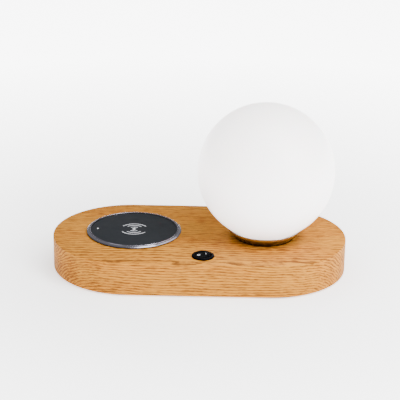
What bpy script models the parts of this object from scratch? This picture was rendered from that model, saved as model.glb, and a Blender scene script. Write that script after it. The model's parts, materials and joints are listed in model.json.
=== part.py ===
"""Oak base with a wireless charging puck, a rocker switch and an opal globe lamp.

Frame: origin on the table under the centre of the base, +X along the length towards the
globe, -Y towards the switch, +Z up. All sizes are in metres.
"""

from math import asin, cos, pi, radians, sin, sqrt, tan

import bmesh
import bpy
from mathutils import Vector

MM = 0.001
FIT = 0.3 * MM          # clearance kept between pieces that touch
EASY_FIT = 0.4 * MM     # clearance round pieces that are pushed into wood

# ---- base block --------------------------------------------------------------------
BASE_LENGTH = 300 * MM
BASE_WIDTH = 160 * MM
BASE_THICKNESS = 34 * MM
BASE_EDGE = 1.2 * MM            # rounding of the long edges
FOOT_PROUD = 1.2 * MM           # how far the feet hold the wood off the table
POCKET_FLOOR = 5.2 * MM         # wood left between the top pockets and the cavity
END_STEPS = 32                  # facets round each end of the block

# ---- bottom cover, screws and feet ---------------------------------------------------
COVER_MARGIN = 8 * MM
COVER_THICKNESS = 2.5 * MM
COVER_INSET = 1.0 * MM
CAVITY_END_WALL = 45 * MM       # wood left beyond the cavity at each end
CAVITY_SIDE_WALL = 38 * MM
COVER_SCREW_R = 1.4 * MM
COVER_SCREW_HEAD_R = 2.9 * MM
COVER_SCREW_LENGTH = 11 * MM
COVER_SCREW_INSET = (26 * MM, 23 * MM)      # from the base's ends and from its long sides
COVER_SCREW_SIDE_X = 62 * MM
FOOT_R = 7 * MM
FOOT_INSET = (58 * MM, 34 * MM)

# ---- charger -------------------------------------------------------------------------
PAD_FROM_END = 82.5 * MM        # centre of the puck from the left end
PAD_Y = 4.5 * MM
DISC_R = 44.3 * MM
DISC_THICKNESS = 2.0 * MM
BEZEL_HEIGHT = 2.9 * MM
BEZEL_WIDTH = 4.0 * MM
BEZEL_LEDGE = 3.1 * MM          # how far the ledge reaches in under the disc
BEZEL_SKIRT_WALL = 1.1 * MM
BEZEL_SKIRT_DEPTH = 1.5 * MM
CUP_INSET = 2.3 * MM            # the cup's wall stands this far inside the disc's edge
CUP_WALL = 1.6 * MM
CUP_DEPTH = 11.3 * MM
COIL_R = 22.0 * MM
COIL_HOLE_R = 10.0 * MM
COIL_THICKNESS = 1.2 * MM
FERRITE_R = 26.5 * MM
FERRITE_THICKNESS = 2.0 * MM
CHARGER_CHIP_HEIGHT = 1.6 * MM
CHARGER_BOARD_THICKNESS = 1.6 * MM
STATUS_INSET = 6.8 * MM         # distance of the status light from the disc's edge
LIGHT_PIPE_R = 0.9 * MM
CHARGER_SCREW_INSET = 8 * MM    # from the cup's outer wall
CHARGER_SCREW_R = 1.2 * MM
CHARGER_SCREW_HEAD_R = 2.6 * MM
CHARGER_SCREW_LENGTH = 10 * MM
BOSS_R = 3.4 * MM
LEAD_R = 1.3 * MM

# ---- globe lamp ------------------------------------------------------------------------
GLOBE_FROM_END = 83.5 * MM      # centre of the globe from the right end
GLOBE_Y = 0.0
GLOBE_R = 69.5 * MM
GLASS = 2.5 * MM
GLOBE_GAP = 0.6 * MM            # the full sphere would end this far above the wood
NECK_R = 26.0 * MM
NECK_DEPTH = 6.0 * MM           # how far the neck reaches below the wood's top
NECK_RING_WALL = 2.2 * MM
DISH_WIDTH = 6.9 * MM           # from the gallery's cup out to the dish's rim
RIM_HEIGHT = 2.5 * MM
GALLERY_WALL = 1.2 * MM
LAMP_POCKET_DEPTH = 12.0 * MM
GASKET_SEAT_DROP = 1.3 * MM     # height of the gasket's seat under the glass
GASKET_INSET = (1.1 * MM, 2.4 * MM)     # from the gallery's cup and from the dish's rim
HOLDER_R = 10.0 * MM
HOLDER_HEIGHT = 21.0 * MM
BULB_PIN_R = 0.6 * MM
BULB_PIN_SPACING = 7.0 * MM
BULB_PIN_LENGTH = 9.2 * MM
BULB_BASE_R = 7.5 * MM
BULB_BASE_HEIGHT = 15.5 * MM
BULB_DOME_R = 8.0 * MM
BULB_DOME_HEIGHT = 31.0 * MM
BULB_DOME_WALL = 0.8 * MM
LED_CORE_R = 2.6 * MM
LED_CORE_HEIGHT = 23.0 * MM
NIPPLE_R = 4.9 * MM
NIPPLE_BORE_R = 3.3 * MM
NUT_R = 8.0 * MM
NUT_THICKNESS = 3.2 * MM
WASHER_R = 9.0 * MM
WASHER_THICKNESS = 1.0 * MM

# ---- rocker switch ----------------------------------------------------------------------
SWITCH_X = 4.5 * MM
SWITCH_FROM_SIDE = 22.0 * MM    # centre of the switch from the long front side
FLANGE_WIDTH = 1.2 * MM
FLANGE_HEIGHT = 2.1 * MM
BARREL_R = 10.1 * MM
BARREL_DEPTH = 13.0 * MM
BARREL_WALL = 1.5 * MM
SWITCH_PANEL = 8.2 * MM         # wood left round the barrel
SWITCH_POCKET_EASE = 4.4 * MM   # free space round the barrel under the wood
ROCKER_TILT = radians(12)       # each way from level
ROCKER_AXIS_DEPTH = 1.0 * MM
ROCKER_VALLEY = 2.6 * MM        # height of the rocker's valley over its axis
ROCKER_BOTTOM = 5.0 * MM
TRUNNION_R = 1.2 * MM
PLUNGER_R = 1.3 * MM
PLUNGER_TIP = 8.0 * MM          # distance of the plunger's tip from the rocker's axis
PLUNGER_TOP = 3.7 * MM
SPRING_TOP = 0.9 * MM
SPRING_TURNS = 4
SPRING_WIRE_R = 0.18 * MM
LEVER_LENGTH = 13.0 * MM
LEVER_WIDTH = 4.0 * MM
LEVER_THICKNESS = 0.6 * MM
LEVER_TILT = radians(7.2)
LEVER_GAP = 0.4 * MM            # free height over the lever with the rocker level
CONTACT_REACH = 6.0 * MM
BLADE_WIDTH = 4.8 * MM
BLADE_THICKNESS = 0.8 * MM
BLADE_DEPTH = 20.0 * MM         # how far the blades reach below the wood's top

# ---- power inlet and driver -----------------------------------------------------------------
INLET_X = 0.0
INLET_Z = 13.5 * MM
INLET_RECESS_R = 7.5 * MM
INLET_RECESS_DEPTH = 9.0 * MM
INLET_WALL = 5.0 * MM
INLET_POCKET_WIDTH = 22.0 * MM
JACK_BODY_R = 5.8 * MM
JACK_BODY_LENGTH = 13.7 * MM
JACK_BARREL_R = 3.9 * MM
JACK_BARREL_PROUD = 3.0 * MM
JACK_BORE_R = 2.75 * MM
JACK_BORE_DEPTH = 11.0 * MM
JACK_PIN_R = 1.0 * MM
JACK_NUT_R = 6.2 * MM
JACK_NUT_THICKNESS = 2.3 * MM
DRIVER_BOARD = (70 * MM, 40 * MM, 1.6 * MM)
TRANSFORMER = (14 * MM, 12 * MM, 8 * MM)
TRANSFORMER_X = -10 * MM
DRIVER_CAP_R = 4.0 * MM
DRIVER_CAP_LENGTH = 12 * MM
DRIVER_CAP_X = 14 * MM
DRIVER_SCREW_INSET = 5 * MM
DRIVER_SCREW_R = 1.2 * MM
DRIVER_SCREW_REACH = 4.0 * MM
DRIVER_SCREW_HEAD_R = 2.4 * MM

# ---- heights and places that follow from the sizes above ---------------------------------------
TOP = FOOT_PROUD + BASE_THICKNESS
CAVITY_LENGTH = BASE_LENGTH - 2 * CAVITY_END_WALL
CAVITY_WIDTH = BASE_WIDTH - 2 * CAVITY_SIDE_WALL
BEZEL_R = DISC_R + FIT + BEZEL_WIDTH
BEZEL_SKIRT_R = DISC_R + FIT + BEZEL_SKIRT_WALL
BEZEL_LEDGE_R = DISC_R - BEZEL_LEDGE
CUP_R = DISC_R - CUP_INSET
STATUS_RADIUS = DISC_R - STATUS_INSET
CHARGER_SCREW_RADIUS = CUP_R - CHARGER_SCREW_INSET
GALLERY_R = NECK_R + FIT + NECK_RING_WALL + EASY_FIT + GALLERY_WALL
RIM_R = GALLERY_R + DISH_WIDTH
GASKET_INNER_R = GALLERY_R + GASKET_INSET[0]
GASKET_OUTER_R = RIM_R - GASKET_INSET[1]
FLANGE_R = BARREL_R + FLANGE_WIDTH
SWITCH_POCKET_R = BARREL_R + SWITCH_POCKET_EASE
PAD_X = PAD_FROM_END - BASE_LENGTH / 2
GLOBE_X = BASE_LENGTH / 2 - GLOBE_FROM_END
SWITCH_Y = SWITCH_FROM_SIDE - BASE_WIDTH / 2
COVER_Z = FOOT_PROUD + COVER_INSET
REBATE_Z = COVER_Z + COVER_THICKNESS + FIT
CHARGER_POCKET_DEPTH = CUP_DEPTH + FIT
CAVITY_Z = TOP - max(CHARGER_POCKET_DEPTH, LAMP_POCKET_DEPTH) - POCKET_FLOOR
PAD = Vector((PAD_X, PAD_Y, TOP))
LAMP = Vector((GLOBE_X, GLOBE_Y, TOP))
SWITCH = Vector((SWITCH_X, SWITCH_Y, TOP))
DRIVER_TOP = CAVITY_Z - FIT
DRIVER_BOTTOM = DRIVER_TOP - DRIVER_BOARD[2]


# ---- materials -----------------------------------------------------------------------------------

def principled(name, colour, roughness, metallic=0.0, transmission=0.0):
    """One Principled material."""
    material = bpy.data.materials.new(name)
    material.use_nodes = True
    shader = material.node_tree.nodes["Principled BSDF"]
    shader.inputs["Base Color"].default_value = (*colour, 1.0)
    shader.inputs["Roughness"].default_value = roughness
    shader.inputs["Metallic"].default_value = metallic
    shader.inputs["Transmission Weight"].default_value = transmission
    return material


def make_materials():
    """The finishes by name."""
    return {
        "oak": principled("oak", (0.60, 0.30, 0.09), 0.45),
        "black_plastic": principled("black_plastic", (0.03, 0.03, 0.032), 0.5),
        "rocker_plastic": principled("rocker_plastic", (0.02, 0.02, 0.022), 0.35),
        "slate_disc": principled("slate_disc", (0.045, 0.05, 0.06), 0.4),
        "bezel_metal": principled("bezel_metal", (0.42, 0.40, 0.46), 0.3, 1.0),
        "chrome": principled("chrome", (0.75, 0.75, 0.77), 0.12, 1.0),
        "opal_glass": principled("opal_glass", (0.90, 0.89, 0.87), 0.3),
        "silicone": principled("silicone", (0.7, 0.7, 0.68), 0.6),
        "white_plastic": principled("white_plastic", (0.85, 0.85, 0.83), 0.4),
        "ceramic": principled("ceramic", (0.82, 0.80, 0.74), 0.35),
        "light_pipe": principled("light_pipe", (0.9, 0.9, 0.9), 0.2),
        "rubber": principled("rubber", (0.03, 0.03, 0.03), 0.8),
        "steel": principled("steel", (0.55, 0.55, 0.56), 0.3, 1.0),
        "brass": principled("brass", (0.72, 0.52, 0.20), 0.3, 1.0),
        "copper": principled("copper", (0.72, 0.35, 0.20), 0.35, 1.0),
        "ferrite": principled("ferrite", (0.06, 0.06, 0.065), 0.7),
        "board": principled("board", (0.02, 0.16, 0.07), 0.4),
        "chip": principled("chip", (0.02, 0.02, 0.02), 0.5),
        "cable": principled("cable", (0.05, 0.05, 0.05), 0.5),
    }


# ---- shape tools -----------------------------------------------------------------------------------

def place(name, bm, material, at=(0, 0, 0), parent=None):
    """Turn a bmesh into a smooth-shaded object whose origin is at the given place."""
    bmesh.ops.recalc_face_normals(bm, faces=bm.faces)
    mesh = bpy.data.meshes.new(name)
    bm.to_mesh(mesh)
    bm.free()
    mesh.shade_smooth()
    mesh.set_sharp_from_angle(angle=radians(35))
    item = bpy.data.objects.new(name, mesh)
    item.location = at
    item.parent = parent
    bpy.context.collection.objects.link(item)
    if material is not None:
        mesh.materials.append(material)
    return item


def cutter(item):
    """Mark an object as a guide that is not part of the model."""
    item.hide_render = True
    item.display_type = "WIRE"
    return item


def combine(item, tool, operation):
    """Cut, join or intersect an object with a hidden tool object."""
    cutter(tool)
    modifier = item.modifiers.new(operation.lower(), "BOOLEAN")
    modifier.operation = operation
    modifier.solver = "EXACT"
    modifier.object = tool
    return item


def turned_mesh(outline, steps):
    """Spin an (r, z) outline about Z: a loop off the axis, or a line from axis to axis."""
    bm = bmesh.new()
    verts = [bm.verts.new((r, 0, z)) for r, z in outline]
    edges = [bm.edges.new(pair) for pair in zip(verts, verts[1:])]
    if outline[0][0] > 0:
        edges.append(bm.edges.new((verts[-1], verts[0])))
    bmesh.ops.spin(bm, geom=verts + edges, cent=(0, 0, 0), axis=(0, 0, 1), angle=2 * pi,
                   steps=steps, use_merge=True)
    bmesh.ops.remove_doubles(bm, verts=bm.verts, dist=1e-7)
    return bm


def turned(name, outline, material, at, steps=32, parent=None):
    """A turned piece on a vertical axis."""
    return place(name, turned_mesh(outline, steps), material, at, parent)


def post(r, z0, z1):
    """Outline of a plain cylinder."""
    return [(0, z0), (r, z0), (r, z1), (0, z1)]


def tube(r_in, r_out, z0, z1):
    """Outline of a plain ring."""
    return [(r_in, z0), (r_out, z0), (r_out, z1), (r_in, z1)]


def box_mesh(size, centre=(0, 0, 0)):
    """A box of a given size about a centre."""
    bm = bmesh.new()
    bmesh.ops.create_cube(bm, size=1.0)
    bmesh.ops.scale(bm, vec=size, verts=bm.verts)
    bmesh.ops.translate(bm, vec=centre, verts=bm.verts)
    return bm


def prism_mesh(outline, z0, z1):
    """A straight prism from an (x, y) outline."""
    bm = bmesh.new()
    face = bm.faces.new([bm.verts.new((x, y, z0)) for x, y in outline])
    grown = bmesh.ops.extrude_face_region(bm, geom=[face])["geom"]
    moved = [v for v in grown if isinstance(v, bmesh.types.BMVert)]
    bmesh.ops.translate(bm, vec=(0, 0, z1 - z0), verts=moved)
    return bm


def hexagon(r):
    """Corners of a hexagon."""
    return [(r * cos(k * pi / 3), r * sin(k * pi / 3)) for k in range(6)]


def stadium(length, width, inset=0.0):
    """Outline with straight long sides and round ends."""
    r = width / 2 - inset
    half = (length - width) / 2
    points = []
    for centre, start in ((half, -pi / 2), (-half, pi / 2)):
        for k in range(END_STEPS + 1):
            angle = start + pi * k / END_STEPS
            points.append((centre + r * cos(angle), r * sin(angle)))
    return points


def layered_stadium(length, width, levels):
    """Closed solid through stadium outlines stacked as (z, inset) levels."""
    bm = bmesh.new()
    rings = []
    for z, inset in levels:
        rings.append([bm.verts.new((x, y, z)) for x, y in stadium(length, width, inset)])
    for low, high in zip(rings, rings[1:]):
        for k in range(len(low)):
            m = (k + 1) % len(low)
            bm.faces.new((low[k], low[m], high[m], high[k]))
    bm.faces.new(rings[0])
    bm.faces.new(rings[-1])
    return bm


def edge_round(z, inward, radius, steps=2):
    """(z, inset) levels of a rounded edge that ends at height z; inward is +1 or -1."""
    levels = []
    for k in range(steps + 1):
        angle = pi / 2 * k / steps
        levels.append((z + inward * radius * (1 - sin(angle)), radius * (1 - cos(angle))))
    return levels


def smooth_route(points, per_span=4):
    """Points on a Catmull-Rom curve through the given route."""
    route = [Vector(p) for p in points]
    ends = [route[0] * 2 - route[1]] + route + [route[-1] * 2 - route[-2]]
    curve = []
    for a, b, c, d in zip(ends, ends[1:], ends[2:], ends[3:]):
        for k in range(per_span):
            t = k / per_span
            curve.append(0.5 * (2 * b + (c - a) * t + (2 * a - 5 * b + 4 * c - d) * t ** 2
                                + (3 * b - a - 3 * c + d) * t ** 3))
    curve.append(route[-1])
    return curve


def wire(name, points, radius, material, parent=None):
    """A round wire along points."""
    curve = bpy.data.curves.new(name, "CURVE")
    curve.dimensions = "3D"
    curve.bevel_depth = radius
    curve.bevel_resolution = 2
    curve.use_fill_caps = True
    spline = curve.splines.new("POLY")
    spline.points.add(len(points) - 1)
    for target, point in zip(spline.points, points):
        target.co = (*point, 1.0)
    curve.materials.append(material)
    item = bpy.data.objects.new(name, curve)
    item.parent = parent
    bpy.context.collection.objects.link(item)
    return item


def hole(item, at, r, z0, z1, steps=24):
    """Drill a vertical hole between two world heights at (x, y)."""
    tool = turned("cut_" + item.name, post(r, z0, z1), None, (at[0], at[1], 0), steps)
    return combine(item, tool, "DIFFERENCE")


def steps_outline(steps, end):
    """Outline of a shaft whose radius changes at each (radius, height), up to an end height."""
    outline = [(0, steps[0][1])]
    for (r, z), z_next in zip(steps, [z for _, z in steps[1:]] + [end]):
        outline += [(r, z), (r, z_next)]
    return outline + [(0, end)]


def stepped(item, at, steps, end, facets):
    """Cut a vertical hole whose radius changes at each (radius, height)."""
    tool = turned("cut_" + item.name, steps_outline(steps, end), None, (at[0], at[1], 0), facets)
    return combine(item, tool, "DIFFERENCE")


def slot(item, size, centre):
    """Cut a box out of an object."""
    return combine(item, place("cut_" + item.name, box_mesh(size, centre), None), "DIFFERENCE")


def along_y(item):
    """Lay a turned piece so that its axis points along +Y."""
    item.rotation_euler = (-pi / 2, 0, 0)
    return item


def bore_y(item, at, r, y0, y1, steps=24):
    """Drill along Y between two world places at (x, z)."""
    tool = turned("cut_" + item.name, post(r, y0, y1), None, (at[0], 0, at[1]), steps)
    return combine(item, along_y(tool), "DIFFERENCE")


# ---- places shared by pieces that line up -----------------------------------------------------------

def cover_screw_places():
    """Two screws at the ends and four along the sides."""
    end_x = BASE_LENGTH / 2 - COVER_SCREW_INSET[0]
    side_y = BASE_WIDTH / 2 - COVER_SCREW_INSET[1]
    ends = [(end_x, 0.0), (-end_x, 0.0)]
    return ends + [(sx * COVER_SCREW_SIDE_X, sy * side_y) for sx in (1, -1) for sy in (1, -1)]


def charger_screw_places():
    """Three screws evenly round the puck."""
    return [(PAD_X + CHARGER_SCREW_RADIUS * cos(a), PAD_Y + CHARGER_SCREW_RADIUS * sin(a))
            for a in (radians(30), radians(150), radians(270))]


def driver_screw_places():
    """Two screws at opposite corners of the driver board."""
    x = DRIVER_BOARD[0] / 2 - DRIVER_SCREW_INSET
    y = DRIVER_BOARD[1] / 2 - DRIVER_SCREW_INSET
    return [(-x, y), (x, -y)]


CHARGER_EXIT = (PAD_X + 24 * MM, PAD_Y - 8 * MM)     # where the charger's lead leaves its cup
LAMP_LEAD_HOLE = (GLOBE_X, GLOBE_Y)


# ---- charger stack heights, from the wood's top ------------------------------------------------------

LEDGE_TOP = -0.1 * MM           # the bezel's ledge, just under the wood's top
DISC_Z = LEDGE_TOP + FIT
DISC_TOP = DISC_Z + DISC_THICKNESS
COIL_Z = DISC_Z - FIT - COIL_THICKNESS
FERRITE_Z = COIL_Z - FIT - FERRITE_THICKNESS
CHIP_Z = FERRITE_Z - FIT - CHARGER_CHIP_HEIGHT
CHARGER_BOARD_TOP = CHIP_Z - FIT
CHARGER_BOARD_Z = CHARGER_BOARD_TOP - CHARGER_BOARD_THICKNESS
SCREW_HEAD_HEIGHT = 1.4 * MM


# ---- base -------------------------------------------------------------------------------------------

def make_wood_base(finish):
    """The oak block with its pockets, cavity, recess and pilot holes."""
    bottom = FOOT_PROUD
    levels = edge_round(bottom, 1, BASE_EDGE)[::-1] + edge_round(TOP, -1, BASE_EDGE)
    base = place("wood_base", layered_stadium(BASE_LENGTH, BASE_WIDTH, levels), finish["oak"])

    rebate = layered_stadium(BASE_LENGTH - 2 * COVER_MARGIN, BASE_WIDTH - 2 * COVER_MARGIN,
                             [(0, -EASY_FIT), (REBATE_Z, -EASY_FIT)])
    combine(base, place("cut_rebate", rebate, None), "DIFFERENCE")
    cavity = layered_stadium(CAVITY_LENGTH, CAVITY_WIDTH, [(0, 0), (CAVITY_Z, 0)])
    combine(base, place("cut_cavity", cavity, None), "DIFFERENCE")

    above = TOP + 5 * MM
    cup_r = CUP_R + EASY_FIT
    skirt_r = BEZEL_SKIRT_R + EASY_FIT
    pocket_z = TOP - CHARGER_POCKET_DEPTH
    ledge_z = TOP - BEZEL_SKIRT_DEPTH - EASY_FIT
    stepped(base, (PAD_X, PAD_Y), [(cup_r, pocket_z), (skirt_r, ledge_z)], above, 48)
    hole(base, CHARGER_EXIT, LEAD_R + 1.2 * MM, 0, pocket_z + CUP_DEPTH / 2, 16)
    stepped(base, LAMP.xy, [(NIPPLE_R + EASY_FIT, 0),
                            (GALLERY_R + EASY_FIT, TOP - LAMP_POCKET_DEPTH)], above, 48)
    stepped(base, SWITCH.xy, [(SWITCH_POCKET_R, 0), (BARREL_R + FIT, TOP - SWITCH_PANEL)],
            above, 32)
    channel_top = CAVITY_Z - 2 * MM
    slot(base, (2 * BARREL_R, SWITCH_POCKET_R, channel_top),
         (SWITCH_X, SWITCH_Y + SWITCH_POCKET_R, channel_top / 2))

    back = BASE_WIDTH / 2
    recess_floor = back - INLET_RECESS_DEPTH
    pocket_end = recess_floor - INLET_WALL
    tool = turned_mesh(steps_outline([(JACK_BARREL_R + FIT, pocket_end - 5 * MM),
                                      (INLET_RECESS_R, recess_floor)], back + 5 * MM), 24)
    combine(base, along_y(place("cut_inlet", tool, None, (INLET_X, 0, INLET_Z))), "DIFFERENCE")
    pocket_y = CAVITY_WIDTH / 2 - 4 * MM
    pocket_top = INLET_Z + JACK_BODY_R + 2 * MM
    slot(base, (INLET_POCKET_WIDTH, pocket_end - pocket_y, pocket_top),
         (INLET_X, (pocket_end + pocket_y) / 2, pocket_top / 2))

    for at in cover_screw_places():
        hole(base, at, COVER_SCREW_R + FIT, 0, COVER_Z + COVER_SCREW_LENGTH + 1 * MM, 12)
    for at in charger_screw_places():
        depth = CHARGER_SCREW_LENGTH - CHARGER_BOARD_TOP
        hole(base, at, CHARGER_SCREW_R + FIT, TOP - depth - 1 * MM, TOP - CUP_DEPTH / 2, 12)
    for at in driver_screw_places():
        hole(base, at, DRIVER_SCREW_R + FIT, 0, DRIVER_TOP + DRIVER_SCREW_REACH + 1 * MM, 12)
    return base



def make_bottom(finish):
    """Cover plate, its six screws and four feet."""
    levels = [(COVER_Z, 0), (COVER_Z + COVER_THICKNESS, 0)]
    plate = layered_stadium(BASE_LENGTH - 2 * COVER_MARGIN, BASE_WIDTH - 2 * COVER_MARGIN, levels)
    cover = place("bottom_cover", plate, finish["black_plastic"])
    sink = COVER_SCREW_HEAD_R - COVER_SCREW_R
    head = COVER_Z + 0.1 * MM
    tip = head + COVER_SCREW_LENGTH
    screw = [(0, head), (COVER_SCREW_HEAD_R, head), (COVER_SCREW_HEAD_R, head + 0.2 * MM),
             (COVER_SCREW_R, head + sink + 0.2 * MM), (COVER_SCREW_R, tip - 1.5 * MM), (0, tip)]
    wide = COVER_SCREW_HEAD_R + FIT
    seat = [(0, 0), (wide, 0), (wide, head + 0.3 * MM),
            (COVER_SCREW_R + FIT, head + sink + 0.3 * MM), (COVER_SCREW_R + FIT, tip), (0, tip)]
    for number, (x, y) in enumerate(cover_screw_places(), 1):
        turned(f"cover_screw_{number}", screw, finish["steel"], (x, y, 0), 16)
        combine(cover, turned("cut_seat", seat, None, (x, y, 0), 16), "DIFFERENCE")
    foot_top = COVER_Z - FIT
    foot = [(0, 0), (FOOT_R - 0.4 * MM, 0), (FOOT_R, 0.4 * MM), (FOOT_R, foot_top), (0, foot_top)]
    corners = [(sx, sy) for sx in (1, -1) for sy in (1, -1)]
    for number, (sx, sy) in enumerate(corners, 1):
        at = (sx * (BASE_LENGTH / 2 - FOOT_INSET[0]), sy * (BASE_WIDTH / 2 - FOOT_INSET[1]), 0)
        turned(f"foot_{number}", foot, finish["rubber"], at, 24)


# ---- charger ------------------------------------------------------------------------------------------

def make_charger(finish):
    """The charging puck: bezel, disc, coil stack, board, cup and screws."""
    inner = DISC_R + FIT
    bezel = [(BEZEL_LEDGE_R, -BEZEL_SKIRT_DEPTH), (BEZEL_SKIRT_R, -BEZEL_SKIRT_DEPTH),
             (BEZEL_SKIRT_R, FIT), (BEZEL_R, FIT), (BEZEL_R, 0.5 * BEZEL_HEIGHT),
             (BEZEL_R - 0.7 * MM, 0.8 * BEZEL_HEIGHT), (BEZEL_R - 2.4 * MM, 0.95 * BEZEL_HEIGHT),
             (inner + 0.5 * MM, BEZEL_HEIGHT), (inner, BEZEL_HEIGHT - 0.3 * MM),
             (inner, LEDGE_TOP), (BEZEL_LEDGE_R, LEDGE_TOP)]
    turned("charger_bezel", bezel, finish["bezel_metal"], PAD, 48)

    disc = turned("charger_top_disc", post(DISC_R, DISC_Z, DISC_TOP), finish["slate_disc"], PAD, 48)
    status = (PAD_X - STATUS_RADIUS, PAD_Y)
    hole(disc, status, LIGHT_PIPE_R + FIT, TOP + DISC_Z - 1 * MM, TOP + DISC_TOP + 1 * MM, 16)
    led_height = 0.8 * MM
    led_top = CHARGER_BOARD_TOP + FIT + led_height
    turned("status_light_pipe", post(LIGHT_PIPE_R, led_top + FIT, DISC_TOP), finish["light_pipe"],
           (*status, TOP), 16)
    place("status_led", box_mesh((1.6 * MM, 0.8 * MM, led_height),
                                 (0, 0, led_top - led_height / 2)),
          finish["white_plastic"], (*status, TOP))

    turned("charge_coil", tube(COIL_HOLE_R, COIL_R, COIL_Z, COIL_Z + COIL_THICKNESS),
           finish["copper"], PAD, 48)
    turned("ferrite_disc", post(FERRITE_R, FERRITE_Z, FERRITE_Z + FERRITE_THICKNESS),
           finish["ferrite"], PAD, 48)

    board_r = CUP_R - CUP_WALL - 2 * FIT
    board = turned("charger_pcb", post(board_r, CHARGER_BOARD_Z, CHARGER_BOARD_TOP),
                   finish["board"], PAD, 48)
    cup_floor = CUP_WALL - CUP_DEPTH
    rim = -BEZEL_SKIRT_DEPTH - FIT
    cup_outline = [(0, -CUP_DEPTH), (CUP_R, -CUP_DEPTH), (CUP_R, rim), (CUP_R - CUP_WALL, rim),
                   (CUP_R - CUP_WALL, cup_floor), (0, cup_floor)]
    cup = turned("charger_housing", cup_outline, finish["black_plastic"], PAD, 48)
    hole(cup, CHARGER_EXIT, LEAD_R + 0.8 * MM, 0, TOP + cup_floor + 1 * MM, 16)
    head_z = CHARGER_BOARD_TOP + FIT
    screw = [(0, head_z - CHARGER_SCREW_LENGTH), (CHARGER_SCREW_R, head_z - CHARGER_SCREW_LENGTH),
             (CHARGER_SCREW_R, head_z), (CHARGER_SCREW_HEAD_R, head_z),
             (CHARGER_SCREW_HEAD_R, head_z + 0.6 * SCREW_HEAD_HEIGHT),
             (0.5 * CHARGER_SCREW_HEAD_R, head_z + SCREW_HEAD_HEIGHT),
             (0, head_z + SCREW_HEAD_HEIGHT)]
    boss_top = CHARGER_BOARD_Z - FIT
    for number, (x, y) in enumerate(charger_screw_places(), 1):
        boss = turned("join_boss", post(BOSS_R, cup_floor - 0.5 * MM, boss_top), None, (x, y, TOP), 16)
        combine(cup, boss, "UNION")
        hole(cup, (x, y), CHARGER_SCREW_R + FIT, 0, TOP, 12)
        hole(board, (x, y), CHARGER_SCREW_R + FIT, 0, TOP, 12)
        turned(f"charger_screw_{number}", screw, finish["steel"], (x, y, TOP), 12)

    chip_z = CHIP_Z + CHARGER_CHIP_HEIGHT / 2
    place("charge_controller", box_mesh((6 * MM, 6 * MM, CHARGER_CHIP_HEIGHT), (0, 0, chip_z)),
          finish["chip"], (PAD_X + 6 * MM, PAD_Y + 6 * MM, TOP))
    for number, x in enumerate((-8 * MM, -13 * MM), 1):
        place(f"resonant_capacitor_{number}",
              box_mesh((3.2 * MM, 5 * MM, CHARGER_CHIP_HEIGHT), (0, 0, chip_z)),
              finish["ceramic"], (PAD_X + x, PAD_Y - 4 * MM, TOP))

    start = Vector((*CHARGER_EXIT, TOP + CHARGER_BOARD_Z - FIT))
    low = REBATE_Z + 2.6 * MM
    end_x = -DRIVER_BOARD[0] / 2 + 4 * MM
    route = [start, start + Vector((0, 0, -8 * MM)), (start.x + 1 * MM, start.y, low + 4 * MM),
             (end_x - 4 * MM, start.y, low + 1 * MM), (end_x, start.y, DRIVER_BOTTOM - 4 * MM),
             (end_x, start.y, DRIVER_BOTTOM - FIT)]
    wire("charger_lead", smooth_route(route), LEAD_R, finish["cable"])


# ---- globe lamp ------------------------------------------------------------------------------------------

def glass_z(r):
    """Height of the globe's outer surface over the wood at a radius, on its lower half."""
    return GLOBE_GAP + GLOBE_R - sqrt(GLOBE_R ** 2 - r ** 2)


def globe_arc(radius, neck_r, steps):
    """(r, z) points from the top pole down to the neck on one skin of the globe."""
    centre = GLOBE_GAP + GLOBE_R
    end = pi - asin(neck_r / radius)
    return [(radius * sin(end * k / steps), centre + radius * cos(end * k / steps))
            for k in range(steps + 1)]


def make_globe(finish):
    """The opal globe with its neck, the threaded ring on the neck and the gasket."""
    outer = globe_arc(GLOBE_R, NECK_R, 16)
    inner = globe_arc(GLOBE_R - GLASS, NECK_R - GLASS, 16)
    outer[0] = (0, outer[0][1])
    inner[0] = (0, inner[0][1])
    outline = outer + [(NECK_R, -NECK_DEPTH), (NECK_R - GLASS, -NECK_DEPTH)] + inner[::-1]
    turned("opal_globe", outline, finish["opal_glass"], LAMP, 48)

    ring_r = NECK_R + FIT
    ring_low = 0.5 * MM - NECK_DEPTH
    ring_high = glass_z(ring_r) - 1.2 * MM
    outer_r = ring_r + NECK_RING_WALL
    turned("globe_neck_ring", tube(ring_r, outer_r, ring_low, ring_high),
           finish["white_plastic"], LAMP, 48)

    seat = glass_z(outer_r) - GASKET_SEAT_DROP
    gasket = [(GASKET_INNER_R, seat + FIT), (GASKET_OUTER_R, seat + FIT),
              (GASKET_OUTER_R, glass_z(GASKET_OUTER_R) - 2 * FIT),
              (GASKET_INNER_R, glass_z(GASKET_INNER_R) - 2 * FIT)]
    turned("shade_gasket", gasket, finish["silicone"], LAMP, 48)


def make_gallery(finish):
    """The polished cup and dish that hold the globe."""
    collar = GALLERY_R - GALLERY_WALL
    seat = glass_z(collar - EASY_FIT) - GASKET_SEAT_DROP
    rim_top = glass_z(RIM_R) - 1.1 * MM
    rim_low = rim_top - RIM_HEIGHT
    bottom = FIT - LAMP_POCKET_DEPTH
    floor = bottom + GALLERY_WALL
    bore = NIPPLE_R + FIT
    lip = 0.9 * MM
    outline = [(bore, bottom), (GALLERY_R, bottom), (GALLERY_R, FIT),
               (GALLERY_R + 0.45 * (RIM_R - GALLERY_R), 0.33 * rim_low),
               (GALLERY_R + 0.80 * (RIM_R - GALLERY_R), 0.66 * rim_low),
               (RIM_R - 0.3 * MM, rim_low - 0.4 * MM), (RIM_R, rim_low),
               (RIM_R, rim_top - 0.4 * MM), (RIM_R - 0.3 * MM, rim_top),
               (RIM_R - lip, rim_top), (RIM_R - lip - 0.5 * MM, seat),
               (collar, seat), (collar, floor), (bore, floor)]
    turned("lamp_gallery", outline, finish["chrome"], LAMP, 48)


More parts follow.
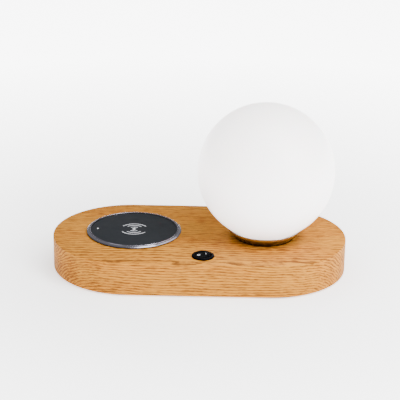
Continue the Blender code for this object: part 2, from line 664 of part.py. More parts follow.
def make_lampholder(finish):
    """Lampholder, hollow nipple, washer, nut and the lamp's lead."""
    floor = FIT - LAMP_POCKET_DEPTH + GALLERY_WALL
    foot = floor + FIT
    top = foot + HOLDER_HEIGHT
    socket_r = NIPPLE_R + FIT
    socket_top = foot + 6 * MM
    outline = [(0, socket_top), (socket_r, socket_top), (socket_r, foot), (HOLDER_R, foot),
               (HOLDER_R, top - 1 * MM), (HOLDER_R - 1 * MM, top), (0, top)]
    holder = turned("lampholder", outline, finish["ceramic"], LAMP, 32)
    for side in (-1, 1):
        hole(holder, (GLOBE_X + side * BULB_PIN_SPACING / 2, GLOBE_Y), BULB_PIN_R + FIT,
             TOP + top - BULB_PIN_LENGTH - 1 * MM, TOP + top + 1 * MM, 12)

    ceiling = CAVITY_Z - TOP
    washer_z = ceiling - FIT - WASHER_THICKNESS
    nut_z = washer_z - FIT - NUT_THICKNESS
    nipple_z = nut_z - 1.5 * MM
    nipple_top = socket_top - FIT
    turned("threaded_nipple", tube(NIPPLE_BORE_R, NIPPLE_R, nipple_z, nipple_top),
           finish["brass"], LAMP, 24)
    turned("nipple_washer", tube(NIPPLE_R + FIT, WASHER_R, washer_z, washer_z + WASHER_THICKNESS),
           finish["steel"], LAMP, 24)
    nut = place("nipple_nut", prism_mesh(hexagon(NUT_R), nut_z, nut_z + NUT_THICKNESS),
                finish["brass"], LAMP)
    hole(nut, LAMP.xy, NIPPLE_R + FIT, TOP + nut_z - 1 * MM, TOP + nut_z + NUT_THICKNESS + 1 * MM, 24)

    low = REBATE_Z + 2.6 * MM
    end_x = DRIVER_BOARD[0] / 2 - 4 * MM
    x, y = LAMP_LEAD_HOLE
    route = [(x, y, TOP + nipple_top - 0.5 * MM), (x, y, TOP + nipple_z + 4 * MM),
             (x - 2 * MM, y, low + 2 * MM), (x - 12 * MM, y, low + 1 * MM),
             (end_x + 4 * MM, y, low + 1.5 * MM), (end_x, y, DRIVER_BOTTOM - 4 * MM),
             (end_x, y, DRIVER_BOTTOM - FIT)]
    wire("lamp_lead", smooth_route(route), LEAD_R, finish["cable"])
    return top


def make_bulb(finish, holder_top):
    """The push-in bulb above the lampholder."""
    base_z = holder_top + 0.5 * MM
    base_top = base_z + BULB_BASE_HEIGHT
    outline = [(0, base_z), (BULB_BASE_R - 1.5 * MM, base_z), (BULB_BASE_R, base_z + 4 * MM),
               (BULB_BASE_R, base_top), (0, base_top)]
    turned("bulb_base", outline, finish["white_plastic"], LAMP, 24)
    for number, side in enumerate((-1, 1), 1):
        at = LAMP + Vector((side * BULB_PIN_SPACING / 2, 0, 0))
        pin_top = base_z - FIT
        turned(f"bulb_pin_{number}", post(BULB_PIN_R, pin_top - BULB_PIN_LENGTH, pin_top),
               finish["steel"], at, 12)
    dome_z = base_top + FIT
    shoulder = dome_z + BULB_DOME_HEIGHT - BULB_DOME_R
    skins = []
    for r in (BULB_DOME_R, BULB_DOME_R - BULB_DOME_WALL):
        arc = [(r * sin(pi / 2 * k / 6), shoulder + r * cos(pi / 2 * k / 6)) for k in range(7)]
        skins.append(arc + [(r, dome_z)])
    turned("bulb_dome", skins[0] + skins[1][::-1], finish["opal_glass"], LAMP, 24)
    turned("bulb_led_core", post(LED_CORE_R, dome_z, dome_z + LED_CORE_HEIGHT),
           finish["white_plastic"], LAMP, 16)


# ---- rocker switch ---------------------------------------------------------------------------------------

def make_switch_housing(finish):
    """Round flange and barrel, with slots for the blades and holes for the rocker's pins."""
    opening = BARREL_R - BARREL_WALL
    floor = BARREL_WALL - BARREL_DEPTH
    outline = [(0, -BARREL_DEPTH), (BARREL_R, -BARREL_DEPTH), (BARREL_R, FIT), (FLANGE_R, FIT),
               (FLANGE_R, 0.6 * FLANGE_HEIGHT), (FLANGE_R - 0.5 * MM, 0.9 * FLANGE_HEIGHT),
               (opening + 0.3 * MM, FLANGE_HEIGHT), (opening, FLANGE_HEIGHT - 0.2 * MM),
               (opening, floor), (0, floor)]
    housing = turned("switch_housing", outline, finish["black_plastic"], SWITCH, 48)
    reach = BARREL_R + 1 * MM
    bore_y(housing, (SWITCH_X, TOP - ROCKER_AXIS_DEPTH), TRUNNION_R + FIT,
           SWITCH_Y - reach, SWITCH_Y + reach, 16)
    for x in (0.0, -CONTACT_REACH):
        size = (BLADE_THICKNESS + 2 * FIT, BLADE_WIDTH + 2 * FIT, 3 * BARREL_WALL)
        slot(housing, size, (SWITCH_X + x, SWITCH_Y, TOP - BARREL_DEPTH + BARREL_WALL / 2))
    return housing


def make_rocker(finish):
    """The rocker, its plunger and spring, all tilted about the rocker's pin."""
    pivot = bpy.data.objects.new("rocker_pivot", None)
    pivot.location = SWITCH - Vector((0, 0, ROCKER_AXIS_DEPTH))
    pivot.rotation_euler = (0, -ROCKER_TILT, 0)
    bpy.context.collection.objects.link(pivot)

    ball_r = BARREL_R - BARREL_WALL - FIT
    ball_arc = [(ball_r * sin(pi * k / 16), -ball_r * cos(pi * k / 16)) for k in range(17)]
    ball_arc[0] = (0, -ball_r)
    ball_arc[-1] = (0, ball_r)
    rocker = turned("rocker", ball_arc, finish["rocker_plastic"], (0, 0, 0), 24, pivot)
    wide = BARREL_R
    rise = wide * tan(ROCKER_TILT)
    wedge = [(-wide, -ROCKER_BOTTOM), (wide, -ROCKER_BOTTOM), (wide, ROCKER_VALLEY + rise),
             (0, ROCKER_VALLEY), (-wide, ROCKER_VALLEY + rise)]
    keep = place("keep_wedge", prism_mesh(wedge, -wide, wide), None, (0, 0, 0), pivot)
    keep.rotation_euler = (pi / 2, 0, 0)
    combine(rocker, keep, "INTERSECT")
    pin_half = BARREL_R - FIT
    pin = turned("join_pin", post(TRUNNION_R, -pin_half, pin_half), None, (0, 0, 0), 16, pivot)
    pin.rotation_euler = (pi / 2, 0, 0)
    combine(rocker, pin, "UNION")
    socket = turned("cut_socket", post(PLUNGER_R + FIT, -PLUNGER_TIP, -SPRING_TOP + FIT), None,
                    (0, 0, 0), 16, pivot)
    combine(rocker, socket, "DIFFERENCE")

    tip = [(PLUNGER_R * sin(pi / 2 * k / 4), -PLUNGER_TIP + PLUNGER_R * (1 - cos(pi / 2 * k / 4)))
           for k in range(5)]
    turned("rocker_plunger", tip + [(PLUNGER_R, -PLUNGER_TOP), (0, -PLUNGER_TOP)],
           finish["steel"], (0, 0, 0), 16, pivot)
    coil_r = PLUNGER_R - SPRING_WIRE_R
    high = -SPRING_TOP - SPRING_WIRE_R
    drop = PLUNGER_TOP - FIT - 2 * SPRING_WIRE_R - SPRING_TOP
    steps = 8 * SPRING_TURNS
    coil = [(coil_r * cos(2 * pi * k / 8), coil_r * sin(2 * pi * k / 8), high - drop * k / steps)
            for k in range(steps + 1)]
    wire("plunger_spring", coil, SPRING_WIRE_R, finish["steel"], pivot)


def make_contacts(finish):
    """See-saw contact lever and the two blade terminals with their leads."""
    lever_top = -ROCKER_AXIS_DEPTH - PLUNGER_TIP - LEVER_GAP
    lever_axis = lever_top - LEVER_THICKNESS / 2
    pivot = bpy.data.objects.new("lever_pivot", None)
    pivot.location = SWITCH + Vector((0, 0, lever_axis))
    pivot.rotation_euler = (0, LEVER_TILT, 0)
    bpy.context.collection.objects.link(pivot)
    place("contact_lever", box_mesh((LEVER_LENGTH, LEVER_WIDTH, LEVER_THICKNESS)),
          finish["copper"], (0, 0, 0), pivot)

    dip = LEVER_LENGTH / 2 * sin(LEVER_TILT)
    low = lever_axis - LEVER_THICKNESS / 2
    blades = (("switch_terminal_common", 0.0, low - FIT),
              ("switch_terminal_load", -CONTACT_REACH, low - dip - FIT))
    board_edge = -DRIVER_BOARD[1] / 2 + 3 * MM
    for number, (name, x, top) in enumerate(blades, 1):
        height = top + BLADE_DEPTH
        blade = box_mesh((BLADE_THICKNESS, BLADE_WIDTH, height), (0, 0, top - height / 2))
        place(name, blade, finish["brass"], SWITCH + Vector((x, 0, 0)))
        start = SWITCH + Vector((x, 0, -BLADE_DEPTH - FIT))
        route = [start, start + Vector((0, 2 * MM, -4.5 * MM)), start + Vector((0, 12 * MM, -6 * MM)),
                 (start.x, board_edge - 8 * MM, start.z - 6 * MM),
                 (start.x, board_edge, DRIVER_BOTTOM - 4 * MM),
                 (start.x, board_edge, DRIVER_BOTTOM - FIT)]
        wire(f"switch_lead_{number}", smooth_route(route), LEAD_R, finish["cable"])


# ---- power inlet and driver ----------------------------------------------------------------------------------

def make_inlet(finish):
    """Recessed power inlet at the back: jack, nut, centre pin and lead."""
    recess_floor = BASE_WIDTH / 2 - INLET_RECESS_DEPTH
    seat = recess_floor - INLET_WALL - FIT
    body_end = seat - JACK_BODY_LENGTH
    barrel_end = recess_floor + JACK_BARREL_PROUD
    bore_end = barrel_end - JACK_BORE_DEPTH
    at = (INLET_X, 0, INLET_Z)
    outline = [(0, body_end), (JACK_BODY_R, body_end), (JACK_BODY_R, seat), (JACK_BARREL_R, seat),
               (JACK_BARREL_R, barrel_end), (JACK_BORE_R, barrel_end), (JACK_BORE_R, bore_end),
               (0, bore_end)]
    along_y(turned("inlet_jack", outline, finish["black_plastic"], at, 32))
    along_y(turned("inlet_pin", post(JACK_PIN_R, bore_end + FIT, barrel_end - 1 * MM),
                   finish["steel"], at, 12))
    nut_y = recess_floor + FIT
    nut = along_y(place("inlet_nut", prism_mesh(hexagon(JACK_NUT_R), nut_y,
                                                nut_y + JACK_NUT_THICKNESS), finish["steel"], at))
    bore_y(nut, (INLET_X, INLET_Z), JACK_BARREL_R + FIT, nut_y - 1 * MM, recess_floor + 5 * MM)

    board_edge = DRIVER_BOARD[1] / 2 - 3 * MM
    start = Vector((INLET_X, body_end - FIT, INLET_Z))
    route = [start, start + Vector((0, -6 * MM, 0)), (INLET_X, board_edge + 9 * MM, INLET_Z - 3 * MM),
             (INLET_X, board_edge + 1 * MM, DRIVER_BOTTOM - 4.5 * MM),
             (INLET_X, board_edge, DRIVER_BOTTOM - FIT)]
    wire("inlet_lead", smooth_route(route), LEAD_R, finish["cable"])


def make_driver(finish):
    """Driver board under the cavity's ceiling with its parts and screws."""
    thickness = DRIVER_BOARD[2]
    board = place("driver_pcb", box_mesh(DRIVER_BOARD, (0, 0, DRIVER_BOTTOM + thickness / 2)),
                  finish["board"])
    hang = DRIVER_BOTTOM - FIT
    place("driver_transformer", box_mesh(TRANSFORMER, (0, 0, -TRANSFORMER[2] / 2)),
          finish["ferrite"], (TRANSFORMER_X, 0, hang))
    half = DRIVER_CAP_LENGTH / 2
    along_y(turned("driver_capacitor", post(DRIVER_CAP_R, -half, half), finish["chip"],
                   (DRIVER_CAP_X, 0, hang - DRIVER_CAP_R), 20))
    tip = DRIVER_TOP + DRIVER_SCREW_REACH
    screw = [(0, hang - SCREW_HEAD_HEIGHT), (DRIVER_SCREW_HEAD_R, hang - SCREW_HEAD_HEIGHT),
             (DRIVER_SCREW_HEAD_R, hang), (DRIVER_SCREW_R, hang), (DRIVER_SCREW_R, tip), (0, tip)]
    for number, (x, y) in enumerate(driver_screw_places(), 1):
        hole(board, (x, y), DRIVER_SCREW_R + FIT, 0, TOP, 12)
        turned(f"driver_screw_{number}", screw, finish["steel"], (x, y, 0), 12)


# ---- whole object -----------------------------------------------------------------------------------------------

def main():
    """Build every piece from an empty scene."""
    for item in list(bpy.data.objects):
        bpy.data.objects.remove(item, do_unlink=True)
    finish = make_materials()
    make_wood_base(finish)
    make_bottom(finish)
    make_charger(finish)
    make_gallery(finish)
    make_globe(finish)
    holder_top = make_lampholder(finish)
    make_bulb(finish, holder_top)
    make_switch_housing(finish)
    make_rocker(finish)
    make_contacts(finish)
    make_inlet(finish)
    make_driver(finish)


main()
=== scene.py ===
"""Looks of an oak charging base with a round charging pad, a rocker switch and an opal globe lamp.

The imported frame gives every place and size. Each sub-assembly is a class that works out its
surfaces with numpy and dresses them in procedural finishes.
"""

from __future__ import annotations

import json
import logging
from dataclasses import dataclass, field
from enum import Enum
from typing import Callable, NamedTuple, Optional, Sequence, Union

import bmesh
import bpy
import numpy as np
from mathutils import Matrix, Vector


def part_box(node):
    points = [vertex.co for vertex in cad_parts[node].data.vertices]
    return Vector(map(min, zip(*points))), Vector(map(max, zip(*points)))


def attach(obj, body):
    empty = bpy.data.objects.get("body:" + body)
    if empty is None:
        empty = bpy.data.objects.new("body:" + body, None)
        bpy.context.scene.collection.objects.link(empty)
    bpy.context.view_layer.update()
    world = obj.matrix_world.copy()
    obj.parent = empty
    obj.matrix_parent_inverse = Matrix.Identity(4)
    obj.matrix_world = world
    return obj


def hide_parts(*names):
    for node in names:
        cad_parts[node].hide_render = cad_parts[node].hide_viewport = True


logging.basicConfig(level=logging.INFO, format="%(message)s")
log = logging.getLogger("charging_base")

MM = 0.001
TAU = 2.0 * np.pi

Socket = bpy.types.NodeSocket
Value = Union[float, Socket]
Colour = tuple[float, float, float]
Radius = Callable[[np.ndarray, np.ndarray, np.ndarray], np.ndarray]

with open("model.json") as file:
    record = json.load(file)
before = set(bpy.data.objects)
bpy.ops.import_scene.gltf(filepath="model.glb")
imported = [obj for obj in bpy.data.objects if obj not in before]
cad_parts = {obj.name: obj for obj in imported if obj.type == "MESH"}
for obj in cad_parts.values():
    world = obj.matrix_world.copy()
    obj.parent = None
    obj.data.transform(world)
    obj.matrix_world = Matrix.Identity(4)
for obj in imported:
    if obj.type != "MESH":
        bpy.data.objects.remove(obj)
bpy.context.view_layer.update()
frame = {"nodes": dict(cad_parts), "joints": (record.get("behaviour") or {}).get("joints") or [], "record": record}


# -- Node graphs -------------------------------------------------------------

class Lay(Enum):
    """Direction of the fine marks on a metal."""

    TURNED = "rings about a vertical axis"
    BRUSHED = "lines along X"
    PLAIN = "no direction"


class Graph:
    """Builds one material's node graph on Object coordinates."""

    def __init__(self, name: str) -> None:
        """Start a material with an empty Principled shader.

        Args:
            name: The material's name.
        """
        self.material = bpy.data.materials.new(name)
        self.material.use_nodes = True
        self.tree = self.material.node_tree
        self.shader = self.tree.nodes["Principled BSDF"]
        self.object_place = self.add("TexCoord").outputs["Object"]

    def add(self, kind: str, inputs: Optional[dict[object, object]] = None,
            **settings: object) -> bpy.types.Node:
        """Add a node, feed its inputs and set its plain attributes.

        Args:
            kind: Blender's node type, without its usual prefix.
            inputs: Links or values by the input's name or number.
            **settings: Attributes of the node.

        Returns:
            The new node.
        """
        node = self.tree.nodes.new(f"ShaderNode{kind}")
        for key, value in settings.items():
            setattr(node, key, value)
        for key, value in (inputs or {}).items():
            self.feed(node.inputs[key], value)
        return node

    def feed(self, socket: Socket, value: object) -> None:
        """Link a socket to another, or set its default value."""
        if isinstance(value, bpy.types.NodeSocket):
            self.tree.links.new(value, socket)
        elif socket.type == "RGBA" and len(value) == 3:
            socket.default_value = (*value, 1.0)
        else:
            socket.default_value = value

    def math(self, operation: str, a: Value, b: Value = 0.0) -> Socket:
        """One Math node.

        Args:
            operation: The node's operation.
            a: First operand.
            b: Second operand.

        Returns:
            The result socket.
        """
        return self.add("Math", {0: a, 1: b}, operation=operation).outputs[0]

    def plus(self, a: Value, b: Value) -> Socket:
        """The sum of two values."""
        return self.math("ADD", a, b)

    def less(self, a: Value, b: Value) -> Socket:
        """The first value less the second."""
        return self.math("SUBTRACT", a, b)

    def times(self, a: Value, b: Value) -> Socket:
        """The product of two values."""
        return self.math("MULTIPLY", a, b)

    def length(self, a: Value, b: Value) -> Socket:
        """Length of the hypotenuse over two sides."""
        return self.math("SQRT", self.plus(self.times(a, a), self.times(b, b)))

    def vector(self, *parts: Value) -> Socket:
        """A vector put together from its components."""
        return self.add("CombineXYZ", dict(enumerate(parts))).outputs[0]

    def mapped(self, scale: Sequence[float], shift: Sequence[float] = (0, 0, 0),
               source: Optional[Socket] = None) -> Socket:
        """Object coordinates shifted, then stretched.

        Args:
            scale: Factor along each axis.
            shift: Place that becomes the origin.
            source: Coordinates to map, or None for Object coordinates.

        Returns:
            The mapped vector.
        """
        place = tuple(-s * k for s, k in zip(shift, scale))
        return self.add("Mapping", {"Vector": source or self.object_place, "Location": place,
                                    "Scale": tuple(scale)}).outputs[0]

    def noise(self, vector: Socket, scale: float, detail: float = 2.0,
              roughness: float = 0.5) -> Socket:
        """Fractal noise of a vector.

        Args:
            vector: Coordinates.
            scale: Cells per unit.
            detail: Octaves.
            roughness: Share of the finer octaves.

        Returns:
            The noise between 0 and 1.
        """
        return self.add("TexNoise", {"Vector": vector, "Scale": scale, "Detail": detail,
                                     "Roughness": roughness}).outputs[0]

    def cells(self, vector: Socket, scale: float, feature: str = "F1") -> Socket:
        """Distance field of Voronoi cells.

        Args:
            vector: Coordinates.
            scale: Cells per unit.
            feature: The node's feature.

        Returns:
            The distance.
        """
        node = self.add("TexVoronoi", feature=feature)
        self.feed(node.inputs["Vector"], vector)
        self.feed(node.inputs["Scale"], scale)
        return node.outputs["Distance"]

    def ramp(self, factor: Socket, stops: Sequence[tuple[float, Colour]]) -> Socket:
        """Colour ramp.

        Args:
            factor: Where on the ramp.
            stops: Places and colours in order.

        Returns:
            The colour.
        """
        node = self.add("ValToRGB", {0: factor})
        band = node.color_ramp.elements
        while len(band) < len(stops):
            band.new(0.5)
        for element, (place, colour) in zip(band, stops):
            element.position = place
            element.color = (*colour, 1.0)
        return node.outputs[0]

    def fit(self, factor: Value, low: float, high: float, to_low: float = 0.0,
            to_high: float = 1.0) -> Socket:
        """Map a range to another, held at both ends.

        Args:
            factor: The value.
            low: Start of its range.
            high: End of its range.
            to_low: Start of the new range.
            to_high: End of the new range.

        Returns:
            The mapped value.
        """
        return self.add("MapRange", {"Value": factor, "From Min": low, "From Max": high,
                                     "To Min": to_low, "To Max": to_high}).outputs[0]

    def mix(self, factor: Value, a: object, b: object, blend: str = "MIX") -> Socket:
        """Mix two colours.

        Args:
            factor: Share of the second.
            a: First colour.
            b: Second colour.
            blend: Blend mode.

        Returns:
            The mixed colour.
        """
        return self.add("Mix", {0: factor, 6: a, 7: b}, data_type="RGBA",
                        blend_type=blend).outputs[2]

    def bump(self, height: Socket, depth: float, strength: float = 1.0,
             below: Optional[Socket] = None) -> Socket:
        """Raise the surface by a height field.

        Args:
            height: Height between 0 and 1.
            depth: Real depth in metres.
            strength: Share of the effect.
            below: Normal of an earlier bump.

        Returns:
            The new normal.
        """
        node = self.add("Bump", {"Strength": strength, "Distance": depth, "Height": height})
        if below is not None:
            self.feed(node.inputs["Normal"], below)
        return node.outputs[0]

    def split(self, vector: Socket) -> tuple[Socket, Socket, Socket]:
        """The three components of a vector."""
        return tuple(self.add("SeparateXYZ", {0: vector}).outputs)

    def set(self, **inputs: object) -> None:
        """Set the shader's own sockets; underscores stand for spaces."""
        for key, value in inputs.items():
            self.feed(self.shader.inputs[key.replace("_", " ")], value)


# -- Finishes ----------------------------------------------------------------

@dataclass(frozen=True)
class OakFinish:
    """Oiled oak whose rings are cylinders about a pith that runs along X, below the front."""

    name: str = "oak"
    light: Colour = (0.49, 0.202, 0.022)
    middle: Colour = (0.335, 0.130, 0.016)
    dark: Colour = (0.17, 0.062, 0.010)
    pith: tuple[float, float] = (-88 * MM, -30 * MM)     # y and z of the pith
    ring: float = 2.8 * MM                           # mean width of a year's growth
    bend: tuple[float, float] = (12 * MM, 2.2 * MM)  # slow and quick wander of the rings
    streaks: Colour = (100, 110, 1000)               # cells per metre: length, angle, radius
    bands: Colour = (36, 40, 330)
    fibres: Colour = (120, 300, 1500)
    rays: Colour = (130, 2300, 45)
    pore: Colour = (0.11, 0.034, 0.004)

    def build(self) -> bpy.types.Material:
        """Build the material.

        Returns:
            Rings, pores, fibres and rays in colour, roughness and relief.
        """
        g = Graph(self.name)
        x, y, z = g.split(g.mapped((1, 1, 1), (0, *self.pith)))
        drift = g.noise(g.mapped((7, 26, 26)), 1.0, 2.0)
        waver = g.noise(g.mapped((38, 120, 120), (0.3, 0.1, 0.2)), 1.0, 3.0)
        wander = g.plus(g.times(drift, self.bend[0]), g.times(waver, self.bend[1]))
        radius = g.plus(g.length(y, z), wander)
        phase = g.math("FRACT", g.math("DIVIDE", radius, self.ring))
        early = g.math("POWER", g.less(1.0, phase), 2.2)

        grain = g.vector(x, g.times(g.math("ARCTAN2", z, y), 0.09), radius)
        streaks = g.noise(g.mapped(self.streaks, source=grain), 1.0, 3.0, 0.6)
        bands = g.noise(g.mapped(self.bands, (0.3, 0.5, 0.2), grain), 1.0, 2.0)
        fibres = g.noise(g.mapped(self.fibres, source=grain), 1.0, 2.0)
        pores = g.times(g.fit(g.cells(g.mapped((95, 1150, 1150)), 1.0), 0.16, 0.34, 1.0, 0.0),
                        g.fit(early, 0.10, 0.75, 0.25, 1.0))
        cloud = g.noise(g.mapped((9, 24, 24), (0.7, 0.2, 0.4)), 1.0, 3.0, 0.55)
        rays = g.fit(g.noise(g.mapped(self.rays, source=grain), 1.0, 1.0), 0.62, 0.74)

        tone = g.plus(g.times(early, 0.44), g.times(streaks, 1.20))
        for layer, share in ((cloud, 0.28), (fibres, 0.60), (bands, 0.30)):
            tone = g.plus(tone, g.times(g.less(layer, 0.5), share))
        wood = g.ramp(tone, ((0.63, self.light), (0.786, self.middle), (0.91, self.dark)))
        wood = g.mix(g.times(rays, 0.20), wood, self.light)
        wood = g.mix(g.times(pores, 0.5), wood, self.pore)
        hue = g.mix(g.fit(cloud, 0.42, 0.66), (1.0, 1.0, 1.0), (1.04, 0.95, 0.86))
        wood = g.mix(1.0, wood, hue, "MULTIPLY")

        relief = g.bump(g.less(1.0, pores), 0.00012, 0.6)
        relief = g.bump(streaks, 0.00005, 0.5, relief)
        g.set(Base_Color=wood, Normal=relief, Specular_IOR_Level=0.03,
              Roughness=g.fit(g.plus(tone, pores), 0.2, 1.4, 0.42, 0.60))
        return g.material


@dataclass(frozen=True)
class MouldedFinish:
    """A solid material with a fine surface grain, such as plastic, rubber or ceramic."""

    name: str
    colour: Colour
    roughness: float = 0.45
    grain: float = 2600.0            # grains per metre
    depth: float = 0.00002
    variation: float = 0.12          # share by which the colour drifts
    coat: float = 0.0
    glow: float = 0.0
    shine: float = 0.3               # specular level

    def build(self) -> bpy.types.Material:
        """Build the material.

        Returns:
            Mottled colour, uneven gloss and a fine grain.
        """
        g = Graph(self.name)
        patch = g.noise(g.mapped((1, 1, 1), (0.2, 0.5, 0.1)), 60.0, 4.0, 0.6)
        fine = g.noise(g.object_place, self.grain, 3.0, 0.65)
        pits = g.cells(g.object_place, self.grain * 0.6)
        shade = g.plus(g.times(patch, 0.6), g.times(fine, 0.4))
        low = tuple(c * (1.0 - self.variation) for c in self.colour)
        high = tuple(min(1.0, c * (1.0 + self.variation)) for c in self.colour)
        tint = g.ramp(shade, ((0.3, low), (0.7, high)))
        height = g.plus(g.times(fine, 0.6), g.times(pits, 0.4))
        g.set(Base_Color=tint, Normal=g.bump(height, self.depth, 0.7), Coat_Weight=self.coat,
              Specular_IOR_Level=self.shine,
              Roughness=g.fit(patch, 0.3, 0.7, self.roughness - 0.05, self.roughness + 0.07))
        if self.glow:
            g.set(Emission_Color=(1.0, 0.98, 0.95), Emission_Strength=self.glow)
        return g.material


@dataclass(frozen=True)
class MetalFinish:
    """A metal with tool marks in one direction, smudges, a few scratches and painted shade low down."""

    name: str
    colour: Colour
    roughness: float = 0.22
    lay: Lay = Lay.PLAIN
    centre: tuple[float, float] = (0.0, 0.0)
    marks: float = 3200.0            # tool marks per metre
    depth: float = 0.000006
    shade_heights: tuple[float, float] = (-2.0, -1.0)    # heights between which the painted shade fades out
    shade_share: float = 0.10               # share of the colour that the painted shade leaves

    def build(self) -> bpy.types.Material:
        """Build the material.

        Returns:
            Tool marks in relief, smudges in gloss and colour, and painted shade low down.
        """
        g = Graph(self.name)
        height = g.split(g.object_place)[2]
        if self.lay is Lay.TURNED:
            x, y, z = g.split(g.mapped((1, 1, 1), (*self.centre, 0)))
            around = g.times(g.math("ARCTAN2", y, x), 1.6)
            lathed = g.vector(g.times(g.length(x, y), self.marks), g.times(z, self.marks), around)
            marks = g.noise(lathed, 1.0, 2.0)
        elif self.lay is Lay.BRUSHED:
            marks = g.noise(g.mapped((40, self.marks, self.marks)), 1.0, 2.0)
        else:
            marks = g.noise(g.object_place, self.marks, 3.0)
        smudge = g.noise(g.mapped((1, 1, 1), (0.1, 0.2, 0.3)), 45.0, 4.0, 0.6)
        scratch = g.fit(g.cells(g.mapped((160, 900, 400)), 1.0, "DISTANCE_TO_EDGE"), 0.0, 0.03,
                        1.0, 0.0)
        dull = tuple(c * 0.86 for c in self.colour)
        tint = g.mix(g.fit(smudge, 0.35, 0.7), self.colour, dull)
        # Painted shade: below the given heights the colour darkens to a share of itself.
        shaded = tuple(c * self.shade_share for c in self.colour)
        tint = g.mix(g.fit(height, *self.shade_heights), shaded, tint)
        normal = g.bump(marks, self.depth, 0.6)
        normal = g.bump(scratch, self.depth, 0.15, normal)
        g.set(Base_Color=tint, Metallic=1.0, Normal=normal,
              Roughness=g.fit(g.plus(smudge, g.times(marks, 0.4)), 0.4, 1.0,
                              self.roughness * 0.8, self.roughness * 1.35))
        return g.material


@dataclass(frozen=True)
class OpalFinish:
    """Satin opal glass: white through its depth, with faint clouds from the blowing."""

    name: str = "opal_glass"
    colour: Colour = (0.96, 0.955, 0.945)
    roughness: float = 0.36
    glow: float = 1.5

    def build(self) -> bpy.types.Material:
        """Build the material.

        Returns:
            Clouded white with a satin etch and a soft depth.
        """
        g = Graph(self.name)
        cloud = g.noise(g.mapped((1, 1, 1.6), (0.4, 0.3, 0.1)), 18.0, 4.0, 0.55)
        etch = g.noise(g.object_place, 4200.0, 2.0)
        warm = tuple(c * k for c, k in zip(self.colour, (1.0, 0.985, 0.965)))
        tint = g.ramp(cloud, ((0.35, warm), (0.65, self.colour)))
        g.set(Base_Color=tint, Normal=g.bump(etch, 0.000006, 0.35), Subsurface_Weight=0.25,
              Subsurface_Scale=0.004, Specular_IOR_Level=0.45, Sheen_Weight=0.0,
              Roughness=g.fit(cloud, 0.3, 0.7, self.roughness - 0.03, self.roughness + 0.05),
              Emission_Color=(1.0, 0.99, 0.98), Emission_Strength=self.glow)
        return g.material


@dataclass(frozen=True)
class BoardFinish:
    """Circuit board: solder mask over copper tracks, with bare pads and drilled vias."""

    name: str = "board"
    mask: Colour = (0.012, 0.13, 0.05)
    pad: Colour = (0.75, 0.62, 0.32)
    step: float = 1.8 * MM           # spacing of the tracks

    def build(self) -> bpy.types.Material:
        """Build the material.

        Returns:
            Tracks as raised lines under the mask, and pads as metal dots.
        """
        g = Graph(self.name)
        x, y, _ = g.split(g.object_place)
        step = self.step
        choice = g.noise(g.vector(g.math("SNAP", x, step), g.math("SNAP", y, step)), 300.0, 1.0)
        line_x, line_y = (g.math("FRACT", g.math("DIVIDE", place, step)) for place in (x, y))
        along = g.math("GREATER_THAN", choice, 0.5)
        line = g.plus(g.times(along, line_x), g.times(g.less(1.0, along), line_y))
        track = g.fit(g.math("ABSOLUTE", g.less(line, 0.5)), 0.16, 0.20, 1.0, 0.0)
        dots = g.fit(g.cells(g.object_place, 330.0), 0.13, 0.16, 1.0, 0.0)
        lighter = tuple(min(1.0, c * 1.7 + 0.01) for c in self.mask)
        skin = g.mix(g.times(track, 0.7), self.mask, lighter)
        g.set(Base_Color=g.mix(dots, skin, self.pad), Metallic=g.times(dots, 0.9),
              Normal=g.bump(g.plus(track, dots), 0.00003, 0.6), Coat_Weight=0.2,
              Roughness=g.fit(dots, 0.0, 1.0, 0.38, 0.3))
        return g.material


Finish = Union[OakFinish, MouldedFinish, MetalFinish, OpalFinish, BoardFinish]


class Place(NamedTuple):
    """Lowest corner, highest corner and middle of a CAD node."""

    low: np.ndarray
    high: np.ndarray
    mid: np.ndarray

    @property
    def radius(self) -> float:
        """Half its extent along X."""
        return (self.high[0] - self.low[0]) / 2

    @property
    def span(self) -> tuple[float, float, float]:
        """Its radius, the height of its foot and that of its top."""
        return self.radius, self.low[2], self.high[2]

    @property
    def axis(self) -> tuple[float, float]:
        """Where its upright axis stands."""
        return self.mid[0], self.mid[1]


def place_of(node: str) -> Place:
    """The box of a CAD node.

    Args:
        node: The node's name.

    Returns:
        Its place.
    """
    low, high = (np.array(corner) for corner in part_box(node))
    return Place(low, high, (low + high) / 2)


TOP = place_of("wood_base").high[2]


